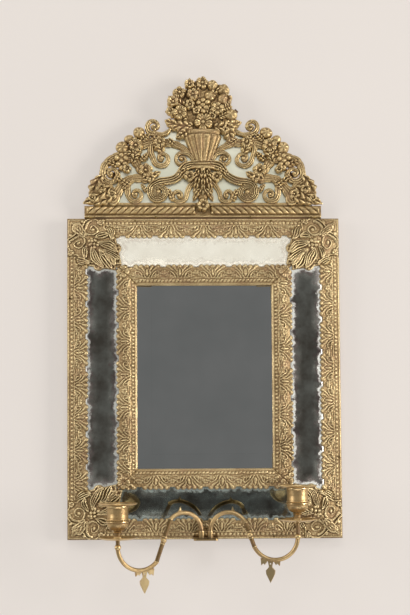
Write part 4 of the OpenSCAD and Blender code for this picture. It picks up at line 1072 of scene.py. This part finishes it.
# About half of what the eye sees is an even pale tone, so the lamps' fall-off hardly shows
ray = add(paint, "LightPath").outputs
seen = calc(paint, "MAXIMUM", ray["Is Camera Ray"], ray["Is Glossy Ray"])
paint_even = add(paint, "MixShader", i0=calc(paint, "MULTIPLY", seen, 0.55), i1=paint_shader,
                 i2=add(paint, "Emission", Color="#e4ddd7", Strength=1.0))
# From behind, the wall lets the eye through to the mirror's back, and light that leaves that back
# meets the wall within 4 mm and passes too
near = calc(paint, "LESS_THAN", ray["Ray Length"], NEAR_WALL)
clear = calc(paint, "MAXIMUM", add(paint, "NewGeometry").outputs["Backfacing"], near)
through = add(paint, "MixShader", i0=clear, i1=paint_even, i2=add(paint, "BsdfTransparent"))
feed(paint, paint.node_tree.nodes["Material Output"], {"Surface": through})
wall_mesh.materials.append(paint)
print("wall normal:", tuple(wall_mesh.polygons[0].normal))

# %% [markdown]
# A lamp shines down its own Z axis. To aim it, it is tilted, then turned round the vertical.

# %% Light
LAMP_COLOUR = "#fffcf8"


def lamp(name, at, target, size, power):
    """A soft rectangular lamp aimed at a point, in metres and watts."""
    data = bpy.data.lights.new(name, "AREA")
    data.shape, data.size, data.size_y = "RECTANGLE", size[0], size[1]
    data.energy = power
    data.color = srgb(LAMP_COLOUR)[:3]
    obj = linked(name, data)
    way = np.subtract(at, target)
    obj.location = at
    tilt, heading = math.acos(way[2] / np.linalg.norm(way)), math.atan2(way[1], way[0])
    obj.rotation_euler = (tilt, 0, heading + math.pi / 2)
    print(name, "radiance", round(power / (math.pi * size[0] * size[1]), 2))


lamp("Overhead lamp", (0.0, -1.4, 1.75), (0, 0, 0.1), (2.6, 1.5), 10)
lamp("Key lamp", (2.7, -1.35, 0.1), (0, 0, 0.1), (1.0, 1.3), 68)
lamp("Fill lamp", (-2.5, -1.2, 0.6), (0, 0, 0), (1.2, 1.6), 36)
lamp("Front lamp", (0.0, -2.3, 1.9), (0, 0, 0), (1.8, 0.7), 16)
lamp("Low lamp", (0.2, -1.2, -1.75), (0, 0, -0.1), (1.8, 0.8), 14)
lamp("Back lamp", (-0.9, 1.9, 0.9), (0, 0, 0.05), (1.5, 1.5), 34)

# %% [markdown]
# The room is a dim even grey. Only what the camera sees directly, past the edge of the wall, is
# pale.

# %% Room
world = bpy.data.worlds.new("Room")
world.use_nodes = True
bpy.context.scene.world = world
sky = world.node_tree.nodes["Background"]
sky.inputs["Color"].default_value = srgb("#ffffff")
ROOM_LEVEL, BACKDROP_LEVEL = 0.165, 0.75
seen = add(world, "LightPath").outputs["Is Camera Ray"]
feed(world, sky, {"Strength": remap(world, seen, 0, 1, ROOM_LEVEL, BACKDROP_LEVEL)})
print("room:", len(world.node_tree.nodes), "nodes")

# %% [markdown]
# ## Camera
# The photograph was taken from in front, with the lens below the middle of the mirror and tilted up
# a little. An upward shift keeps the frame's sides nearly parallel.

# %% Camera
camera_data = bpy.data.cameras.new("Camera")
camera_data.lens = 58.16
camera_data.sensor_width = 36
camera_data.shift_x = 0.0269
camera_data.shift_y = 0.1699
camera = linked("Camera", camera_data)
camera.location = (-0.0546, -1.4663, -0.1158)
camera.rotation_euler = (math.radians(92.593), math.radians(0.349), math.radians(-1.215))
bpy.context.scene.camera = camera
bpy.context.scene.view_settings.view_transform = "Standard"
print("camera at", tuple(round(v, 3) for v in camera.location))
